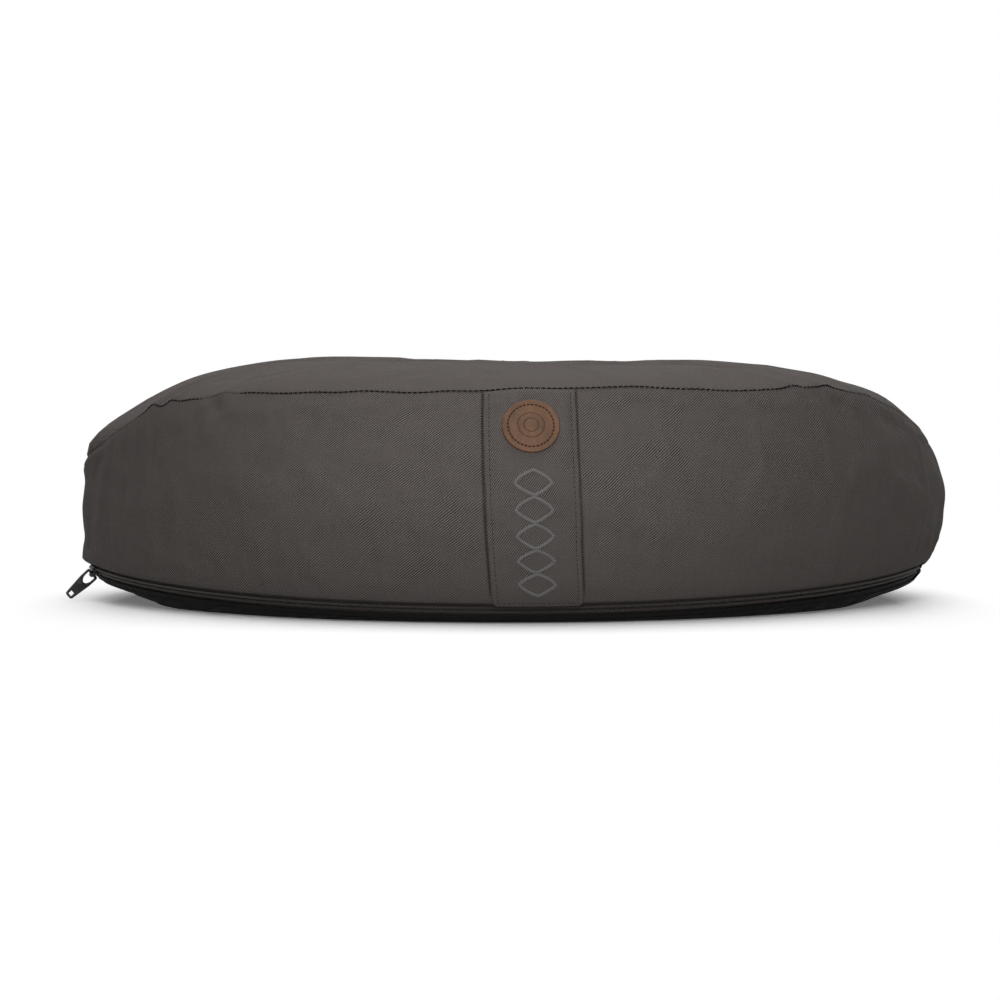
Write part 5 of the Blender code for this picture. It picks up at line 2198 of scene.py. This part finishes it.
    def band_stitches(self) -> list[Shell]:
        """Stitches down both sides of the band and along its foot.

        Returns:
            One closed surface for each stitch.
        """
        inset, start, steps = self.stitch_inset, 0.0025, 160
        half, low = self.width / 2 - inset, self.length - inset
        foot = np.linspace(-half, half, 70)[1:-1]
        down = np.linspace(start, low, steps)
        sideways = np.concatenate([np.full(steps, -half), foot, np.full(steps, half)])
        drop = np.concatenate([down, np.full(len(foot), low), down[::-1]])
        return self.row(sideways, drop, self.lift(sideways, drop), 0.0024, 0.0018, 0.00022, loop=False)

    def patch(self) -> bpy.types.Object:
        """Leather patch: a disc with a soft rim, a stitch groove and two pressed rings.

        Returns:
            The object, which holds how deeply each point is pressed.
        """
        radius, columns, edge = self.patch_diameter / 2, 96, 0.0006
        turns = np.linspace(0, 2 * np.pi, columns, endpoint=False)[:, None]
        outermost = radius - np.array([0.0004, 0.0002, 0.00006])
        radii = np.concatenate([np.linspace(edge, radius - edge, 62), outermost])
        rim = round_over((radius - radii) / edge)
        rings = sum(bell(radii, ring, self.ring_width) for ring in self.rings)
        groove = bell(radii, radius - self.patch_stitch_inset, 0.00038)
        dome = 0.00025 * (1 - (radii / radius) ** 2)
        height = self.patch_thickness * (0.35 + 0.65 * rim) - 0.00030 * rings - 0.00022 * groove + dome
        under = radius * np.array([1.0, 0.7, 0.3])
        rows = np.concatenate([radii, under])
        levels = self.patch_seat + np.concatenate([height, np.full(len(under), -self.patch_rise)])
        points = self.on(rows * np.cos(turns), self.patch_drop - rows * np.sin(turns), levels)
        tips = tuple(self.on(0.0, self.patch_drop, level) for level in levels[[0, -1]])
        item = build("patch_disc", [domed_shell(points, tips)], LEATHER)
        marks = np.concatenate([rings * 0.75 + groove * 0.35 + (1 - rim) * 0.8, np.ones(len(under))])
        pressed = np.concatenate([np.tile(marks, columns), [0.0, 1.0]])
        mark = item.data.attributes.new(PRESS_MARK, "FLOAT", "POINT")
        mark.data.foreach_set("value", np.clip(pressed, 0, 1).astype(np.float32))
        return item

    def patch_stitches(self) -> list[Shell]:
        """Ring of stitches in the patch's groove.

        Returns:
            One closed surface for each stitch.
        """
        radius = self.patch_diameter / 2 - self.patch_stitch_inset
        turns = np.linspace(0, 2 * np.pi, 160, endpoint=False)
        across, drop = radius * np.cos(turns), self.patch_drop - radius * np.sin(turns)
        level = self.patch_seat + self.patch_thickness
        return self.row(across, drop, level, 0.0019, 0.0013, 0.00032, loop=True)

    def embroidery(self) -> list[Shell]:
        """Chain of outlined lozenges in satin stitch.

        Each outline is a power curve of cosine and sine, which rounds the lozenge's points, and
        carries a low half-round section.

        Returns:
            One closed surface for each lozenge.
        """
        shells = []
        half, wide = self.motif_length / 2 - self.motif_line / 4, (self.motif_width - self.motif_line) / 2
        turn = np.linspace(0, 2 * np.pi, 110, endpoint=False)
        flat = np.column_stack([wide * squared(np.cos(turn), 1.65), half * squared(np.sin(turn), 1.45)])
        ahead = unit(np.roll(flat, -1, 0) - np.roll(flat, 1, 0))
        ring = np.linspace(0, 2 * np.pi, 10, endpoint=False)
        offset = np.cos(ring) * self.motif_line / 2
        rise = np.maximum(np.sin(ring), -0.3) * self.motif_relief
        across = flat[:, :1] - ahead[:, 1:] * offset
        girth = np.arange(len(ring) + 1) * self.motif_line / 5
        for motif in range(self.motifs):
            middle = self.motif_drop + self.motif_length * (motif + 0.5)
            down = middle - (flat[:, 1:] + ahead[:, :1] * offset)
            points = self.on(across, down, self.lift(across, down) + rise)
            run = running(np.concatenate([points[:, 0], points[:1, 0]]))
            shells.append(swept_shell(points, texture_grid(run, girth), Ends.JOINED))
        return shells

    def make(self) -> None:
        """Build and place every piece of the band."""
        show(build("band_strip", [self.strip()], BAND_TWILL), "cushion", "carry_band")
        stitching = build("band_stitches", self.band_stitches(), BAND_THREAD)
        show(stitching, "cushion", "band_stitching")
        show(self.patch(), "cushion", "leather_patch")
        stitching = build("patch_stitches", self.patch_stitches(), PATCH_THREAD)
        show(stitching, "cushion", "patch_stitching")
        chain = build("lozenge_chain", self.embroidery(), ORNAMENT_THREAD)
        show(chain, "cushion", "band_embroidery")


@dataclass
class Filling:
    """Inner bag of three calico panels, and the hulls inside it.

    Attributes:
        form: Shape of the cushion.
        slack: Distance from the cover's face in to the bag's wall.
        top_drop: Distance from the cover's face down to the bag's top.
        bag_level: Level of the bag's face behind the zip's tape.
        cloth: Thickness of the bag's cloth.
        columns: Points round the bag.
    """

    form: Form
    slack: float = 0.0028
    top_drop: float = 0.0031
    bag_level: float = -0.0024
    cloth: float = 0.0006
    columns: int = 360

    def wall(self, s: Array, depth: float, rows: int) -> Array:
        """Points up the bag's wall, slightly crumpled.

        Args:
            s: Distances along the seam.
            depth: How far they lie in from its face.
            rows: Points up it, beside the two behind the zip's tape.

        Returns:
            The points, shaped (n, rows + 2, 3).
        """
        form, near = self.form, 0.0045
        foot = [form.hem_point(s, across, self.bag_level - depth) for across in (-near, near)]
        share = np.linspace(0.12, 0.96, rows)[None]
        crumple = 0.0004 * ripples(s[:, None], share * 0.1, wavelength=0.016, seed=41)
        body = form.wall(s[:, None], share, np.minimum(crumple, 0.0) - (self.slack + depth))
        return np.concatenate([np.stack(foot, axis=1), body], axis=1)

    def crown(self, s: Array, depth: float, shares: Array) -> Array:
        """Points of the bag's top: the cover's, drawn in by the slack and lowered.

        Args:
            s: Distances along the seam.
            depth: How far they lie below its face.
            shares: Places from the middle out to the seam.

        Returns:
            The points, shaped (n, rows, 3).
        """
        made = self.form.top(s[:, None], (shares * (1 - self.slack / 0.1))[None])
        crumple = ripples(made[..., 0], made[..., 1], wavelength=0.02, seed=43)
        made[..., 2] -= self.top_drop + depth + 0.0003 * (1 + crumple)
        return made

    def floor(self, s: Array, depth: float, rows: int) -> Array:
        """Points of the bag's underside from its seam in to the middle.

        Args:
            s: Distances along the seam.
            depth: How far they lie in from its face.
            rows: Points along its curve.

        Returns:
            The points, shaped (n, rows + 4, 3).
        """
        form = self.form
        start = form.hem_point(s, -0.0048, self.bag_level - depth)
        lift = form.cloth + form.gap + depth
        inward, height = form.under(s, start, lift, np.linspace(0.15, 1.0, rows) * np.pi / 2)
        return drawn_in(start, form.plan.at(s)[1], inward, height, (0.8, 0.5, 0.2), lift)

    def heap(self, s: Array, shares: Array) -> Array:
        """Points of the heap of hulls: the bag's inside, drawn in a little by lumps.

        Args:
            s: Distances along the seam.
            shares: Places from the middle of its top out to the seam.

        Returns:
            The points, from the top's middle round to the underside's.
        """
        depth = self.cloth + self.form.gap
        crown, wall, floor = self.crown(s, depth, shares), self.wall(s, depth, 26), self.floor(s, depth, 8)
        points = np.concatenate([crown, wall[:, ::-1], floor[:, 1:]], axis=1)
        lumps = ripples(points[..., 0], points[..., 1] + points[..., 2] * 0.9, wavelength=0.007, seed=47)
        middle = np.array([0.0, 0.0, 0.06])
        return points - unit(points - middle) * (0.0004 * (1 + lumps))[..., None]

    def make(self) -> None:
        """Build and place the bag and the hulls."""
        s = self.form.plan.loop(self.columns)
        shares = np.array([0.04, 0.2, 0.4, 0.55, 0.68, 0.78, 0.86, 0.92, 0.96, 0.985])
        inner = self.crown(s, self.cloth, shares)[:, ::-1]
        points = np.concatenate([self.crown(s, 0.0, shares), inner], axis=1)
        top = build("bag_top", [domed_shell(points, level_tips(points))], CALICO)

        section = np.concatenate([self.wall(s, 0.0, 20), self.wall(s, self.cloth, 20)[:, ::-1]], axis=1)
        uv = texture_grid(np.append(s, self.form.plan.back_end), np.append(running(section[0]), 0.3))
        wall = build("bag_wall", [swept_shell(section, uv, Ends.JOINED)], CALICO)

        outer, inner = self.floor(s, 0.0, 8), self.floor(s, self.cloth, 8)
        tips = tuple(UP * part[0, -1, 2] for part in (outer, inner))
        points = np.concatenate([outer[:, ::-1], inner], axis=1)
        floor = build("bag_floor", [domed_shell(points, tips)], CALICO)

        points = self.heap(s, shares[:-1])
        hulls = build("hull_heap", [domed_shell(points, level_tips(points))], HULLS)
        show(top, "cushion", "inner_bag_top")
        show(wall, "cushion", "inner_bag_wall")
        show(floor, "cushion", "inner_bag_bottom")
        show(hulls, "cushion", "hull_fill")


@dataclass
class Studio:
    """Floor, light and camera.

    Attributes:
        distance: Distance of the camera from the cushion's widest plane.
        widest_y: That plane's place.
        elevation: Angle of the camera above the horizon.
        aim_x: Sideways place that the camera faces.
        aim_z: Height that it faces in that plane.
        lens: Focal length for a sensor of 36 mm.
        ambient: Strength of the even light from all round.
        key_power: Power of the large soft light overhead.
        front_power: Power of the soft light in front.
        side_dimming: How much darker the room is straight to the left and right.
        back_power: Power of the soft light behind.
        bounce: Share of the light that the floor sends back to the cushion.
        ground_gain: How bright the camera sees the lit floor, so that it shows white and keeps the shadow.
        ground_lift: Share of plain white in it, which keeps the shadow pale.
        ground_clear: Distances from the middle between which the floor fades to plain white.
        ground_squeeze: How much a distance to the front or back counts in that.
    """

    distance: float = 2.2
    widest_y: float = 0.059
    elevation: float = math.radians(3.2)
    aim_x: float = -0.0031
    aim_z: float = 0.0502
    lens: float = 151.7
    ambient: float = 0.12
    side_dimming: float = 0.75
    key_power: float = 13.4
    front_power: float = 1.06
    back_power: float = 0.05
    bounce: float = 0.62
    ground_gain: float = 1.68
    ground_lift: float = 0.14
    ground_clear: tuple[float, float] = (0.20, 0.25)
    ground_squeeze: float = 0.8

    def camera(self) -> None:
        """Camera in front of the cushion, a little above it."""
        data = bpy.data.cameras.new("camera")
        data.lens = self.lens
        data.sensor_width = 36.0
        data.clip_end = 50.0
        item = linked("camera", data)
        cos, sin = math.cos(self.elevation), math.sin(self.elevation)
        item.location = (self.aim_x, self.widest_y - self.distance * cos, self.aim_z + self.distance * sin)
        item.rotation_euler = (math.pi / 2 - self.elevation, 0.0, 0.0)
        bpy.context.scene.camera = item

    def finish(self, owner: bpy.types.Material | bpy.types.World, unseen: Callable, seen: Callable) -> None:
        """Wire a floor or world that shows one face to the camera and gives another one's light.

        Args:
            owner: The material or world.
            unseen: Function of a Graph that returns the shader that lights the cushion.
            seen: The same for the shader that the camera, gloss and glass show.
        """
        owner.use_nodes = True
        owner.node_tree.nodes.clear()
        g = Graph(owner.node_tree)
        ray = g.add("LightPath").outputs
        shown = g.math("MAXIMUM", ray["Is Camera Ray"], ray["Is Glossy Ray"])
        shown = g.math("MAXIMUM", shown, ray["Is Transmission Ray"])
        chosen = g.add("MixShader", {0: shown, 1: unseen(g).outputs[0], 2: seen(g).outputs[0]})
        output = "OutputWorld" if isinstance(owner, bpy.types.World) else "OutputMaterial"
        g.add(output, {"Surface": chosen.outputs[0]})

    def ground(self, g: Graph) -> bpy.types.Node:
        """Lit floor as the camera sees it, which fades to plain white away from the cushion.

        Args:
            g: Graph of the floor's material.

        Returns:
            The shader.
        """
        lit = g.add("BsdfDiffuse", {"Color": (self.ground_gain,) * 3 + (1.0,)})
        oval = g.stretch(g.solid(), (1.0, self.ground_squeeze, 1.0))
        distance = g.add("VectorMath", {0: oval}, operation="LENGTH").outputs["Value"]
        far = g.spread(distance, *self.ground_clear, self.ground_lift, 1.0)
        plain = g.add("Emission", {"Color": WHITE, "Strength": 1.0})
        return g.add("MixShader", {0: far, 1: lit.outputs[0], 2: plain.outputs[0]})

    def floor(self) -> None:
        """White floor that shows white to the camera and keeps the cushion's shadow."""
        reach, level = 30.0, -0.0004
        mesh = bpy.data.meshes.new("floor")
        signs = ((-1, -1), (1, -1), (1, 1), (-1, 1))
        mesh.from_pydata([(x * reach, y * reach, level) for x, y in signs], [], [(0, 1, 2, 3)])
        item = linked("floor", mesh)
        material = bpy.data.materials.new("white_floor")
        grey = rgba((self.bounce,) * 3)
        self.finish(material, lambda g: g.add("BsdfDiffuse", {"Color": grey}), self.ground)
        mesh.materials.append(material)

    def room(self, g: Graph) -> bpy.types.Node:
        """The room's even light, which is dimmer to the left and right.

        Args:
            g: Graph of the world.

        Returns:
            The shader.
        """
        direction = g.add("TexCoord").outputs["Generated"]
        sideways = g.math("ABSOLUTE", g.parts(direction)[0])
        level = g.spread(sideways, 0.1, 0.7, self.ambient, self.ambient * (1 - self.side_dimming))
        return g.add("Background", {"Color": WHITE, "Strength": level})

    def world(self) -> None:
        """Even light from all round, seen as white by the camera and in reflections."""
        world = bpy.data.worlds.new("studio")
        bpy.context.scene.world = world
        self.finish(world, self.room, lambda g: g.add("Background", {"Color": WHITE, "Strength": 1.0}))

    def lamp(self, name: str, place: Place, aim: Place, size: float, power: float) -> None:
        """Square soft lamp that faces a point.

        Args:
            name: Its name.
            place: Where it hangs.
            aim: The point.
            size: Its side.
            power: Its power.
        """
        data = bpy.data.lights.new(name, "AREA")
        data.shape = "SQUARE"
        data.size = size
        data.energy = power
        item = linked(name, data)
        item.location = place
        item.visible_camera = False
        x, y, z = np.array(place) - np.array(aim)
        item.rotation_euler = (math.atan2(math.hypot(x, y), z), 0.0, math.atan2(x, -y))

    def make(self) -> None:
        """Set up the studio."""
        bpy.context.scene.view_settings.view_transform = "Standard"
        self.camera()
        self.floor()
        self.world()
        self.lamp("overhead", (0.0, 0.0, 1.5), (0.0, 0.0, 0.05), size=1.8, power=self.key_power)
        self.lamp("front", (0.0, -0.62, 0.245), (0.0, -0.1, 0.06), size=0.25, power=self.front_power)
        self.lamp("behind", (0.0, 0.95, 0.30), (0.0, 0.1, 0.06), size=0.4, power=self.back_power)


def main() -> None:
    """Build the cushion's pieces in order, then the studio round them."""
    logging.basicConfig(level=logging.INFO, format="%(name)s: %(message)s")
    form = Form()
    form.settling = Settling().reader(form)
    Cover(form).make()
    Zip(form).make()
    Band(form).make()
    Filling(form).make()
    Studio().make()


if __name__ == "__main__":
    main()
